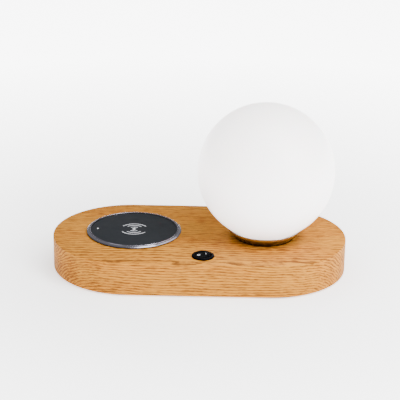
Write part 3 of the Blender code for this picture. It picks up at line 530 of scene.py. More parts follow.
class Finishes:
    """Every finish of the object, built once and handed out by slot name."""

    def __init__(self) -> None:
        """Collect the finishes; the turned metals need the axes of their pieces."""
        pad = place_of("charger_bezel").axis
        lamp = place_of("lamp_gallery").axis
        dish = place_of("lamp_gallery").high[2]
        wanted: list[Finish] = [
            OakFinish(),
            OpalFinish(),
            BoardFinish(),
            MouldedFinish("black_plastic", (0.022, 0.022, 0.024), 0.42, 3000, 0.00003),
            MouldedFinish("rocker_plastic", (0.002, 0.002, 0.0024), 0.20, 5200, 0.000004,
                          shine=0.01),
            MouldedFinish("slate_disc", (0.0115, 0.013, 0.0155), 0.42, 5200, 0.000010, 0.10,
                          shine=0.06),
            MouldedFinish("silicone", (0.62, 0.62, 0.60), 0.55, 2400, 0.00002),
            MouldedFinish("white_plastic", (0.80, 0.80, 0.78), 0.38, 2600, 0.00001, 0.04),
            MouldedFinish("ceramic", (0.78, 0.75, 0.68), 0.30, 1800, 0.00002, 0.06, coat=0.4),
            MouldedFinish("light_pipe", (0.86, 0.88, 0.90), 0.12, 2600, 0.000004, 0.03,
                          coat=0.5, glow=0.35),
            MouldedFinish("rubber", (0.020, 0.020, 0.020), 0.72, 1500, 0.00005, 0.25),
            MouldedFinish("ferrite", (0.045, 0.043, 0.043), 0.62, 2200, 0.00004, 0.3),
            MouldedFinish("chip", (0.016, 0.016, 0.017), 0.48, 3600, 0.00002, 0.2),
            MouldedFinish("cable", (0.030, 0.030, 0.032), 0.50, 2000, 0.00003, 0.15),
            MouldedFinish("ink", (0.58, 0.59, 0.62), 0.50, 4200, 0.000008, 0.10),
            # Painted contact shadow: the bezel is dark up to 1 mm above the oak and fades to its colour by 2 mm.
            MetalFinish("bezel_metal", (0.25, 0.24, 0.285), 0.15, Lay.TURNED, pad,
                        shade_heights=(TOP + 1.0 * MM, TOP + 2.0 * MM)),
            # Painted shade: the gallery below its rim is darkened to 45 % of its colour, fading in between 3.4 and
            # 2.2 mm under its top.
            MetalFinish("chrome", (0.44, 0.41, 0.39), 0.07, Lay.TURNED, lamp, 5200, 0.000002,
                        shade_heights=(dish - 3.4 * MM, dish - 2.2 * MM), shade_share=0.45),
            MetalFinish("steel", (0.58, 0.58, 0.60), 0.28, Lay.BRUSHED),
            MetalFinish("brass", (0.70, 0.50, 0.21), 0.26, Lay.PLAIN),
            MetalFinish("copper", (0.72, 0.34, 0.19), 0.30, Lay.PLAIN, marks=1800),
        ]
        self.materials = {finish.name: finish.build() for finish in wanted}

    def dress(self, item: bpy.types.Object, name: str) -> None:
        """Give an object one finish.

        Args:
            item: The object.
            name: The finish's name.
        """
        item.data.materials.clear()
        item.data.materials.append(self.materials[name])


# -- Surfaces worked out with numpy ------------------------------------------

@dataclass
class Surface:
    """Points and faces of a closed surface."""

    points: np.ndarray
    faces: list[list[int]]

    def moved(self, offset: Sequence[float]) -> "Surface":
        """The same surface shifted by an offset."""
        return Surface(self.points + np.asarray(offset), self.faces)

    def tilted(self, angle: float) -> "Surface":
        """The same surface turned about the Y axis through the origin."""
        c, s = np.cos(angle), np.sin(angle)
        turn = np.array([[c, 0, s], [0, 1, 0], [-s, 0, c]])
        return Surface(self.points @ turn.T, self.faces)

    def along_y(self) -> "Surface":
        """The same surface with its Z axis laid along +Y (x stays, y takes z, z takes -y)."""
        x, y, z = self.points.T
        return Surface(np.stack([x, z, -y], axis=1), self.faces)


def grid_faces(rows: int, columns: int, wrap_rows: bool, wrap_columns: bool) -> np.ndarray:
    """Quads between neighbours of a grid of points stored row by row.

    Args:
        rows: Number of rows.
        columns: Number of columns.
        wrap_rows: Whether the last row joins the first.
        wrap_columns: Whether the last column joins the first.

    Returns:
        An array of four indices a face.
    """
    i = np.arange(rows if wrap_rows else rows - 1)[:, None]
    j = np.arange(columns if wrap_columns else columns - 1)[None, :]
    i2, j2 = (i + 1) % rows, (j + 1) % columns
    corners = [i * columns + j, i2 * columns + j, i2 * columns + j2, i * columns + j2]
    return np.stack(np.broadcast_arrays(*corners), axis=-1).reshape(-1, 4)


def flat_ended(grid: np.ndarray) -> Surface:
    """Surface through closed rings of points, with a flat face over each end.

    Args:
        grid: Rings by points by (x, y, z).

    Returns:
        The closed surface.
    """
    rows, columns = grid.shape[:2]
    faces = grid_faces(rows, columns, False, True).tolist()
    faces.append(list(range(columns))[::-1])
    faces.append(list(range((rows - 1) * columns, rows * columns)))
    return Surface(grid.reshape(-1, 3), faces)


def pole_ended(grid: np.ndarray, poles: np.ndarray) -> Surface:
    """Surface through closed rings of points, with a fan to a pole over each end.

    Args:
        grid: Rings by points by (x, y, z).
        poles: The first and the last pole.

    Returns:
        The closed surface.
    """
    rows, columns = grid.shape[:2]
    here = np.arange(columns)
    beyond = (here + 1) % columns
    last, first_pole = (rows - 1) * columns, rows * columns
    fans = [np.stack([np.full(columns, first_pole), here, beyond], axis=1),
            np.stack([np.full(columns, first_pole + 1), last + beyond, last + here], axis=1)]
    faces = grid_faces(rows, columns, False, True).tolist() + np.concatenate(fans).tolist()
    return Surface(np.concatenate([grid.reshape(-1, 3), poles]), faces)


def rounded(corners: Sequence[Sequence[float]], steps: int = 5,
            closed: bool = True) -> np.ndarray:
    """Polygon whose corners are short parabolas.

    Each corner is (r, z) or (r, z, reach): the parabola starts and ends that reach away from
    the corner, at most 0.45 of each edge, and is (1-t)^2 A + 2t(1-t) P + t^2 B.

    Args:
        corners: Corners in order, sizes in metres.
        steps: Points along each parabola.
        closed: Whether the last corner joins the first.

    Returns:
        An array of (r, z) points.
    """
    pts = np.array([c[:2] for c in corners], float)
    reach = np.array([c[2] if len(c) > 2 else 0.0 for c in corners])
    before, after = np.roll(pts, 1, axis=0), np.roll(pts, -1, axis=0)
    if not closed:
        reach[[0, -1]] = 0.0
    pieces = []
    t = np.linspace(0, 1, steps)[:, None]
    for p, a, b, r in zip(pts, before, after, reach):
        if r <= 0:
            pieces.append(p[None])
            continue
        la, lb = np.linalg.norm(a - p), np.linalg.norm(b - p)
        start = p + (a - p) / la * min(r, 0.45 * la)
        end = p + (b - p) / lb * min(r, 0.45 * lb)
        pieces.append((1 - t) ** 2 * start + 2 * t * (1 - t) * p + t ** 2 * end)
    return np.concatenate(pieces)


def turned(profile: np.ndarray, centre: Sequence[float], segments: int = 96, closed: bool = True,
           flute: Optional[Radius] = None) -> Surface:
    """Turn an (r, z) profile about a vertical axis: x = r cos(a), y = r sin(a).

    Args:
        profile: A loop off the axis, or a line that starts and ends on it.
        centre: Where the axis stands; z is added to the profile's.
        segments: Steps round the axis.
        closed: True for a loop, False for a line from axis to axis.
        flute: Changes the radius as a function of angle, radius and height.

    Returns:
        The closed surface.
    """
    angle = np.linspace(0, TAU, segments, endpoint=False)[None, :]
    body = profile if closed else profile[1:-1]
    r, z = body[:, :1], body[:, 1:2]
    r = flute(angle, r, z) if flute else r + 0 * angle
    grid = np.stack([r * np.cos(angle), r * np.sin(angle), z + 0 * angle], axis=-1)
    if closed:
        faces = grid_faces(len(body), segments, True, True).tolist()
        return Surface(grid.reshape(-1, 3), faces).moved(centre)
    poles = np.array([[0, 0, profile[0, 1]], [0, 0, profile[-1, 1]]])
    return pole_ended(grid, poles).moved(centre)


def lathe(corners: Sequence[Sequence[float]], axis: Sequence[float], segments: int,
          steps: int = 5, foot: float = 0.0, flute: Optional[Radius] = None) -> Surface:
    """Turn a line of (r, z, reach) corners that starts and ends on a vertical axis.

    Args:
        corners: Corners in order, rounded where they have a reach.
        axis: Where the axis stands, as x and y.
        segments: Steps round the axis.
        steps: Points along each rounding.
        foot: Height that is added to the corners' own.
        flute: Changes the radius as a function of angle, radius and height.

    Returns:
        The closed surface.
    """
    profile = rounded(corners, steps, closed=False)
    return turned(profile, (axis[0], axis[1], foot), segments, False, flute)


def stadium(length: float, width: float, inset: np.ndarray, arc_steps: int = 72) -> np.ndarray:
    """Outlines with straight sides and round ends, one a row of insets.

    Each end is a half circle of radius width/2 - inset about (+-(length - width)/2, 0).

    Args:
        length: Whole length.
        width: Whole width.
        inset: How far each outline stands inside the full one.
        arc_steps: Steps round each end.

    Returns:
        An array of outlines by points by (x, y).
    """
    swing = np.linspace(-np.pi / 2, np.pi / 2, arc_steps + 1)
    side = np.linspace(1, -1, 25)[1:-1]
    half = (length - width) / 2
    r = (width / 2 - np.asarray(inset, float))[:, None]
    right = np.stack([half + r * np.cos(swing), r * np.sin(swing)], axis=-1)
    top = np.stack([half * side + 0 * r, r + 0 * side], axis=-1)
    return np.concatenate([right, top, -right, -top], axis=1)


def stacked_stadium(length: float, width: float,
                    levels: Union[np.ndarray, Sequence[tuple[float, float]]]) -> Surface:
    """Closed solid through stadium outlines at rising heights.

    Args:
        length: Whole length.
        width: Whole width.
        levels: Rows of (inset, z).

    Returns:
        The closed surface with flat ends.
    """
    inset, height = np.array(levels, float).T
    rings = stadium(length, width, inset)
    z = np.broadcast_to(height[:, None, None], (*rings.shape[:2], 1))
    return flat_ended(np.concatenate([rings, z], axis=-1))


def tube(path: np.ndarray, radius: float, sides: int = 10) -> Surface:
    """Round wire along a path: circles across the path's tangent, closed by flat ends.

    Args:
        path: Points along the middle.
        radius: The wire's radius.
        sides: Sides of the circle.

    Returns:
        The closed surface.
    """
    tangent = np.gradient(path, axis=0)
    tangent /= np.linalg.norm(tangent, axis=1, keepdims=True)
    up = np.array([0.0, 0.0, 1.0])
    flat = np.abs(tangent @ up) > 0.95
    side = np.cross(tangent, up)
    side[flat] = np.cross(tangent[flat], [0.0, 1.0, 0.0])
    side /= np.linalg.norm(side, axis=1, keepdims=True)
    lift = np.cross(side, tangent)
    a = np.linspace(0, TAU, sides, endpoint=False)[None, :, None]
    grid = path[:, None] + radius * (np.cos(a) * side[:, None] + np.sin(a) * lift[:, None])
    return flat_ended(grid)


def block(size: Sequence[float], centre: Sequence[float], taper: float = 1.0) -> Surface:
    """A box, narrower at its foot by the taper.

    Args:
        size: Extent along each axis.
        centre: Middle of the box.
        taper: Width of the foot over the width of the top.

    Returns:
        The closed surface.
    """
    signs = np.array([[x, y, z] for z in (-1, 1) for y in (-1, 1) for x in (-1, 1)], float)
    signs[:4, :2] *= taper
    points = signs * np.asarray(size) / 2 + np.asarray(centre)
    faces = [[0, 2, 3, 1], [4, 5, 7, 6], [0, 1, 5, 4], [1, 3, 7, 5], [3, 2, 6, 7], [2, 0, 4, 6]]
    return Surface(points, faces)


def prism(outline: np.ndarray, low: float, high: float) -> Surface:
    """An outline raised straight up: the same points at two heights, joined by walls.

    Args:
        outline: Corners (x, y) in order.
        low: Height of the foot.
        high: Height of the top.

    Returns:
        The closed surface.
    """
    return flat_ended(np.stack([np.column_stack([outline, np.full(len(outline), z)])
                                for z in (low, high)]))


def strip(middle: np.ndarray, across: np.ndarray, width: float, thickness: float,
          closed: bool = False) -> Surface:
    """A flat raised line: a thin box bent along a path.

    Args:
        middle: Points along the line, on the surface that carries it.
        across: Unit vectors across the line.
        width: Its width.
        thickness: Its height over the surface.
        closed: Whether its end joins its start.

    Returns:
        The closed surface.
    """
    half = across * width / 2
    lift = np.array([0.0, 0.0, thickness])
    grid = np.stack([middle - half, middle + half, middle + half + lift, middle - half + lift], 1)
    if not closed:
        return flat_ended(grid)
    return Surface(grid.reshape(-1, 3), grid_faces(len(middle), 4, True, True).tolist())


def merged(parts: Sequence[Surface]) -> Surface:
    """Several closed surfaces as one."""
    points, faces, start = [], [], 0
    for part in parts:
        points.append(part.points)
        faces += [[k + start for k in face] for face in part.faces]
        start += len(part.points)
    return Surface(np.concatenate(points), faces)


def raw_object(name: str, surface: Surface) -> bpy.types.Object:
    """Make an object from a surface, with its faces pointing out.

    Args:
        name: The object's name.
        surface: Its points and faces.

    Returns:
        The new object, linked to the scene.
    """
    mesh = bpy.data.meshes.new(name)
    mesh.from_pydata(surface.points.tolist(), [], surface.faces)
    work = bmesh.new()
    work.from_mesh(mesh)
    bmesh.ops.recalc_face_normals(work, faces=work.faces)
    work.to_mesh(mesh)
    work.free()
    item = bpy.data.objects.new(name, mesh)
    bpy.context.scene.collection.objects.link(item)
    return item


def carve(item: bpy.types.Object, tools: Sequence[Surface]) -> None:
    """Cut closed surfaces out of an object and keep the result as its mesh.

    Args:
        item: The object to cut.
        tools: The shapes to remove, in order.
    """
    cutters = [raw_object("carving_tool", tool) for tool in tools]
    for tool in cutters:
        cut = item.modifiers.new("carve", "BOOLEAN")
        cut.operation = "DIFFERENCE"
        cut.solver = "EXACT"
        cut.object = tool
    graph = bpy.context.evaluated_depsgraph_get()
    carved = bpy.data.meshes.new_from_object(item.evaluated_get(graph))
    item.modifiers.clear()
    item.data = carved
    work = bmesh.new()
    work.from_mesh(carved)
    bmesh.ops.remove_doubles(work, verts=work.verts, dist=0.002 * MM)
    bmesh.ops.dissolve_degenerate(work, edges=work.edges, dist=0.002 * MM)
    work.to_mesh(carved)
    work.free()
    for tool in cutters:
        bpy.data.objects.remove(tool)


@dataclass
class Assembly:
    """Shared by every sub-assembly: finishing, riding and reporting pieces."""

    finishes: Finishes

    def piece(self, name: str, surface: Surface, finish: str, body: str,
              nodes: Sequence[str] = (), slot: str = "", tools: Sequence[Surface] = (),
              sharp: float = 32.0) -> bpy.types.Object:
        """Make one finished piece.

        Args:
            name: The piece's name.
            surface: Its shape.
            finish: Its finish.
            body: The body that it rides on.
            nodes: The CAD nodes that it stands for.
            slot: The record's material slot, if it differs from the finish; not used.
            tools: Shapes to cut from it.
            sharp: Edges steeper than this many degrees stay crisp.

        Returns:
            The finished object.
        """
        item = raw_object(name, surface)
        if tools:
            carve(item, tools)
        item.data.shade_smooth()
        item.data.set_sharp_from_angle(angle=np.radians(sharp))
        self.finishes.dress(item, finish)
        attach(item, body)
        if nodes:
            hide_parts(*nodes)
        log.info("%s: %d faces on %s", name, len(item.data.polygons), body)
        return item


# -- Oak block, cover, screws and feet ---------------------------------------

@dataclass
class OakBase(Assembly):
    """The oak block with its openings, and what closes it from below."""

    edge: float = 1.3 * MM
    cavity_walls: tuple[float, float] = (45 * MM, 38 * MM)
    panel: float = 8.2 * MM              # oak left round the switch's barrel
    fit: float = 0.3 * MM                # gap round what stands in a hole
    cup_depth: float = 11.6 * MM         # charger well, and the step under its bezel
    cup_step: tuple[float, float] = (3.7 * MM, 1.9 * MM)
    lamp_depth: float = 12.0 * MM
    switch_barrel: float = 1.2 * MM      # how far the barrel stands inside the flange
    switch_room: float = 4.4 * MM        # hand room round the barrel under the panel
    recess: tuple[float, float] = (7.5 * MM, 9.0 * MM)       # plug recess: radius and depth
    jack_hole: float = 4.2 * MM
    nook_width: float = 22 * MM
    lead_exit: tuple[float, float] = (24 * MM, -8 * MM)      # from the charger's axis
    vent: tuple[float, float, float] = (1.6 * MM, 16 * MM, 8 * MM)
    vent_spacing: float = 4.5 * MM
    vent_row: float = 30 * MM
    screw_shank: float = 1.0 * MM
    screw_crest: float = 1.4 * MM
    screw_pitch: float = 1.3 * MM
    cross: tuple[float, float] = (0.4 * MM, 1.7 * MM)        # half width and reach of its slots

    def build(self) -> None:
        """Make the block, the cover, the screws and the feet."""
        self.block()
        self.cover()
        for number in range(1, 5):
            self.foot(number)

    def well(self, centre: Sequence[float], steps: Sequence[tuple[float, float]],
             chamfer: float) -> Surface:
        """A round well with steps, widest at its mouth.

        Args:
            centre: Its axis passes here.
            steps: Radius and lowest height of each step, from the lowest up.
            chamfer: Width of the broken edge at the mouth.

        Returns:
            The tool that cuts it.
        """
        line = [(0.0, steps[0][1])]
        for (radius, low), (_, above) in zip(steps, [*steps[1:], (0.0, TOP - chamfer)]):
            line += [(radius, low), (radius, above)]
        wide = steps[-1][0] + 2 * chamfer
        line += [(wide, TOP + chamfer), (wide, TOP + 4 * MM), (0.0, TOP + 4 * MM)]
        return lathe(line, centre, 128)

    def block(self) -> None:
        """The oak block, cut for the charger, the lamp, the switch, the cover and the plug."""
        low, high, _ = place_of("wood_base")
        length, width = (high - low)[:2]
        inmost = width / 2 - 0.1 * MM
        outline = rounded([(inmost, low[2]), (0, low[2], self.edge), (0, high[2], self.edge),
                           (inmost, high[2])], 7, closed=False)[1:-1]
        cover = place_of("bottom_cover")
        rebate = stacked_stadium(*(cover.high - cover.low)[:2],
                                 [(-0.4 * MM, -1 * MM), (-0.4 * MM, cover.high[2] + self.fit)])
        self.piece("oak_block", stacked_stadium(length, width, outline), "oak", "base",
                   ["wood_base"], sharp=38,
                   tools=[rebate, *self.wells(), self.plug_recess(),
                          *self.hollows(length, width)])

    def wells(self) -> list[Surface]:
        """The stepped wells of the charger, the lamp and the switch.

        Returns:
            The tools that cut them.
        """
        under = place_of("wood_base").low[2] - 2 * MM
        cup = place_of("charger_housing").radius + 0.4 * MM
        neck = place_of("globe_neck_ring").radius + 1.9 * MM
        stem = place_of("threaded_nipple").radius + self.fit
        barrel = place_of("switch_housing").radius - self.switch_barrel
        wider, step = self.cup_step
        charger = [(cup, TOP - self.cup_depth), (cup + wider, TOP - step)]
        lamp = [(stem, under), (neck, TOP - self.lamp_depth)]
        switch = [(barrel + self.switch_room, under), (barrel + self.fit, TOP - self.panel)]
        return [self.well(place_of("charger_housing").axis, charger, 0.25 * MM),
                self.well(place_of("globe_neck_ring").axis, lamp, 0.04 * MM),
                self.well(place_of("switch_housing").axis, switch, 0.10 * MM)]

    def plug_recess(self) -> Surface:
        """The recess at the back and the hole for the jack, one stepped tool along Y.

        Returns:
            The tool that cuts them.
        """
        mouth = place_of("wood_base").high[1]
        jack = place_of("inlet_jack").mid
        wide, depth = self.recess
        floor, lip = mouth - depth, wide + 1.2 * MM
        tool = lathe([(0, floor - 7 * MM), (self.jack_hole, floor - 7 * MM),
                      (self.jack_hole, floor), (wide, floor), (wide, mouth - 0.4 * MM),
                      (lip, mouth + 0.8 * MM), (lip, mouth + 4 * MM), (0, mouth + 4 * MM)],
                     (0, 0), 64)
        return tool.along_y().moved((jack[0], 0, jack[2]))

    def hollows(self, length: float, width: float) -> list[Surface]:
        """Hollows under the top: the cavity, the switch's channel, the inlet's nook, a lead hole.

        Args:
            length: The block's length.
            width: The block's width.

        Returns:
            The tools that cut them.
        """
        low, high, _ = place_of("wood_base")
        under = low[2] - 2.5 * MM
        roof = place_of("driver_pcb").high[2] + self.fit
        end_wall, side_wall = self.cavity_walls
        cavity = stacked_stadium(length - 2 * end_wall, width - 2 * side_wall,
                                 [(0, under), (0, roof)])
        switch = place_of("switch_housing")
        span = switch.high[0] - switch.low[0] - 2 * self.switch_barrel
        edge, x, y = -(width / 2 - side_wall) + 2 * MM, *switch.axis
        channel = block((span, edge - y, roof - 2 * MM - under),
                        (x, (edge + y) / 2, (roof - 2 * MM + under) / 2))
        jack = place_of("inlet_jack")
        wall = place_of("inlet_nut").low[1] - 5.3 * MM
        deep = jack.high[2] + 2 * MM
        inner = width / 2 - side_wall - 2 * MM
        nook = block((self.nook_width, wall - inner, deep - under),
                     (jack.mid[0], (wall + inner) / 2, (deep + under) / 2))
        r, start, end = 2.5 * MM, roof - 3 * MM, high[2] - 8 * MM
        lead = lathe([(0, start), (r, start), (r, end), (0, end)],
                     np.add(place_of("charger_housing").axis, self.lead_exit), 32)
        return [cavity, channel, nook, lead]

    def cover(self) -> None:
        """The moulded bottom cover with vents, countersinks and its six screws."""
        low, high, _ = place_of("bottom_cover")
        length, width = (high - low)[:2]
        inmost, foot, head = width / 2 - 0.1 * MM, low[2], high[2]
        outline = rounded([(inmost, foot), (0, foot, 0.6 * MM), (0, head, 0.3 * MM),
                           (inmost, head)], 5, closed=False)[1:-1]
        tools = []
        hole = 1.75 * MM
        for number in range(1, 7):
            spot = place_of(f"cover_screw_{number}")
            r = spot.radius + self.fit
            tools.append(lathe([(0, foot - 1 * MM), (r + 0.3 * MM, foot - 1 * MM),
                                (r, foot + 0.4 * MM), (hole, foot + 2.1 * MM),
                                (hole, head + 1 * MM), (0, head + 1 * MM)], spot.axis, 32))
            self.screw(number, spot)
        tools.append(self.groove(length, width, foot))
        for k in range(-4, 5):
            tools.append(block(self.vent, (k * self.vent_spacing, self.vent_row, foot)))
        self.piece("moulded_cover", stacked_stadium(length, width, outline), "black_plastic",
                   "base", ["bottom_cover"], tools=tools)

    def groove(self, length: float, width: float, foot: float) -> Surface:
        """A shallow groove that runs round the cover, as a stadium with its middle cut out.

        Args:
            length: The cover's length.
            width: The cover's width.
            foot: The height of its underside.

        Returns:
            The tool that cuts it.
        """
        outer, inner = 24 * MM, 26 * MM
        ring = raw_object("groove_tool", stacked_stadium(
            length - outer, width - outer, [(0, foot - 1 * MM), (0, foot + 0.5 * MM)]))
        carve(ring, [stacked_stadium(length - inner, width - inner,
                                     [(0, foot - 2 * MM), (0, foot + 1.5 * MM)])])
        points = np.empty(len(ring.data.vertices) * 3)
        ring.data.vertices.foreach_get("co", points)
        faces = [list(p.vertices) for p in ring.data.polygons]
        bpy.data.objects.remove(ring)
        return Surface(points.reshape(-1, 3), faces)

    def screw(self, number: int, spot: Place) -> None:
        """One countersunk screw with a cross recess and a coarse thread.

        Args:
            number: Which screw.
            spot: The place of its CAD node.
        """
        foot, tip = spot.low[2], spot.high[2]
        head, root = spot.radius, self.screw_shank
        neck = foot + 2.2 * MM
        rows = np.linspace(neck, tip - 1.6 * MM, 60)
        profile = np.concatenate([
            [(0, foot), (head - 0.15 * MM, foot), (head, foot + 0.2 * MM)],
            np.stack([np.full(60, root), rows], 1), [(0.2 * MM, tip - 0.1 * MM), (0, tip)]])

        def thread(angle: np.ndarray, r: np.ndarray, z: np.ndarray) -> np.ndarray:
            """Helix: the radius swells where z/pitch - angle/turn is a whole number."""
            wave = np.abs(np.mod(z / self.screw_pitch - angle / TAU, 1.0) * 2 - 1) ** 2
            on = (z > neck + 0.4 * MM) & (r <= root + 1e-6) & (z < tip - 1.0 * MM)
            return r + np.where(on, (self.screw_crest - root) * wave, 0.0)

        a, b = self.cross
        plus = np.array([(a, a), (a, b), (-a, b), (-a, a), (-b, a), (-b, -a),
                         (-a, -a), (-a, -b), (a, -b), (a, -a), (b, -a), (b, a)])
        self.piece(f"cross_screw_{number}", lathe(profile, spot.axis, 28, flute=thread),
                   "steel", "base", [f"cover_screw_{number}"],
                   tools=[prism(plus + spot.mid[:2], foot - 1.2 * MM, foot + 1.2 * MM)])

    def foot(self, number: int) -> None:
        """A rubber foot with a rounded rim and a raised ring that grips.

        Args:
            number: Which foot.
        """
        spot = place_of(f"foot_{number}")
        r, top, sunk = spot.radius, spot.high[2], 0.5 * MM
        shape = lathe([(0, top), (r, top, 0.2 * MM), (r, 0.1 * MM, 0.6 * MM),
                       (r - 1.2 * MM, 0, 0.3 * MM), (r - 2.2 * MM, 0, 0.2 * MM),
                       (r - 2.5 * MM, sunk, 0.2 * MM), (0, sunk)], spot.axis, 48)
        self.piece(f"grip_foot_{number}", shape, "rubber", "base", [f"foot_{number}"])


# -- Charging pad ------------------------------------------------------------

@dataclass
class ChargingPad(Assembly):
    """Bezel, disc with its printed symbol, status light and wound coil."""

    arc_radii: tuple[float, ...] = (14.0 * MM, 9.6 * MM, 5.3 * MM)
    arc_spans: tuple[float, ...] = (57.0, 47.0, 40.0)
    line: float = 0.95 * MM
    print_thickness: float = 0.05 * MM
    disc_gap: float = 0.25 * MM
    ledge: float = 3.0 * MM              # reach of the bezel's ledge under the disc
    skirt: float = 1.1 * MM              # wall of the bezel's skirt in the wood
    coil_bore: float = 10.0 * MM

    def build(self) -> None:
        """Make the pad's visible pieces and the coil under the disc."""
        self.spot = place_of("charger_bezel")
        self.bezel()
        self.disc()
        self.symbol()
        self.coil()

    def bezel(self) -> None:
        """Bevelled metal ring: foot, outer bevel, flat, inner lip and the ledge inside."""
        r = self.spot.radius
        bore = place_of("charger_top_disc").radius + self.disc_gap
        z0, z1 = self.spot.low[2] - TOP, self.spot.high[2] - TOP
        inner, skirt, dip = bore - self.ledge, bore + self.skirt, z1 - 0.62 * MM
        profile = rounded([
            (inner, z0, 0.2 * MM), (skirt, z0, 0.2 * MM), (skirt, 0.3 * MM),
            (r - 0.8 * MM, 0.3 * MM), (r, 1.05 * MM, 0.15 * MM), (r, 1.45 * MM, 0.3 * MM),
            (r - 1.7 * MM, z1 - 0.35 * MM, 0.5 * MM), (r - 2.6 * MM, z1 - 0.30 * MM, 0.2 * MM),
            (r - 2.85 * MM, dip, 0.15 * MM), (bore + 0.75 * MM, dip, 0.15 * MM),
            (bore + 0.55 * MM, z1, 0.22 * MM), (bore, z1 - 0.05 * MM, 0.2 * MM),
            (bore, -0.1 * MM, 0.1 * MM), (inner, -0.1 * MM)], 6)
        self.piece("bevelled_bezel", turned(profile, (*self.spot.axis, TOP), 256),
                   "bezel_metal", "base", ["charger_bezel"])

    def disc(self) -> None:
        """Soft-touch disc with a broken edge, and a light pipe set flush in it."""
        low, high, _ = spot = place_of("charger_top_disc")
        r = spot.radius
        shape = lathe([(0, low[2]), (r, low[2], 0.2 * MM), (r, high[2], 0.35 * MM),
                       (0, high[2])], spot.axis, 256, 6)
        pipe = place_of("status_light_pipe")
        r, foot, top = pipe.span
        hole = r + 0.12 * MM
        tool = lathe([(0, -1 * MM), (hole, -1 * MM), (hole, 4 * MM), (0, 4 * MM)],
                     pipe.axis, 32, foot=low[2])
        self.piece("soft_touch_disc", shape, "slate_disc", "base", ["charger_top_disc"],
                   tools=[tool])
        lens = lathe([(0, foot), (r, foot), (r, top, 0.3 * MM), (0, top)], pipe.axis, 32)
        self.piece("status_lens", lens, "light_pipe", "base", ["status_light_pipe"])

    def symbol(self) -> None:
        """Printed charging symbol: three nested arcs above and below a small bolt."""
        z = place_of("charger_top_disc").high[2] + 0.005 * MM
        arcs = []
        for r, span in zip(self.arc_radii, self.arc_spans):
            for facing in (90.0, 270.0):
                a = np.radians(np.linspace(facing - span, facing + span, 49))
                out = np.stack([np.cos(a), np.sin(a), 0 * a], axis=1)
                middle = out * r + np.array([*self.spot.axis, z])
                arcs.append(strip(middle, out, self.line, self.print_thickness))
        self.piece("charge_symbol_arcs", merged(arcs), "ink", "base", slot="slate_disc")
        outline = np.array([(0.9, 4.4), (-2.3, -0.6), (-0.3, -0.6), (-1.1, -4.4), (2.3, 0.9),
                            (0.3, 0.9)]) * MM
        bolt = prism(outline + self.spot.mid[:2], z, z + self.print_thickness)
        self.piece("charge_symbol_bolt", bolt, "ink", "base", slot="slate_disc")

    def coil(self) -> None:
        """Flat coil: a wire on the spiral r = r0 + pitch * turn."""
        low, high, mid = spot = place_of("charge_coil")
        wire = (high[2] - low[2]) / 2
        inner, outer = self.coil_bore + wire, spot.radius - wire
        turns = np.floor((outer - inner) / (2.05 * wire))
        t = np.linspace(0, turns, int(turns) * 48)
        r = inner + (outer - inner) * t / turns
        path = np.stack([mid[0] + r * np.cos(TAU * t), mid[1] + r * np.sin(TAU * t),
                         np.full_like(t, mid[2])], axis=1)
        self.piece("wound_coil", tube(path, wire * 0.97, 8), "copper", "base", ["charge_coil"])


# -- Globe lamp --------------------------------------------------------------

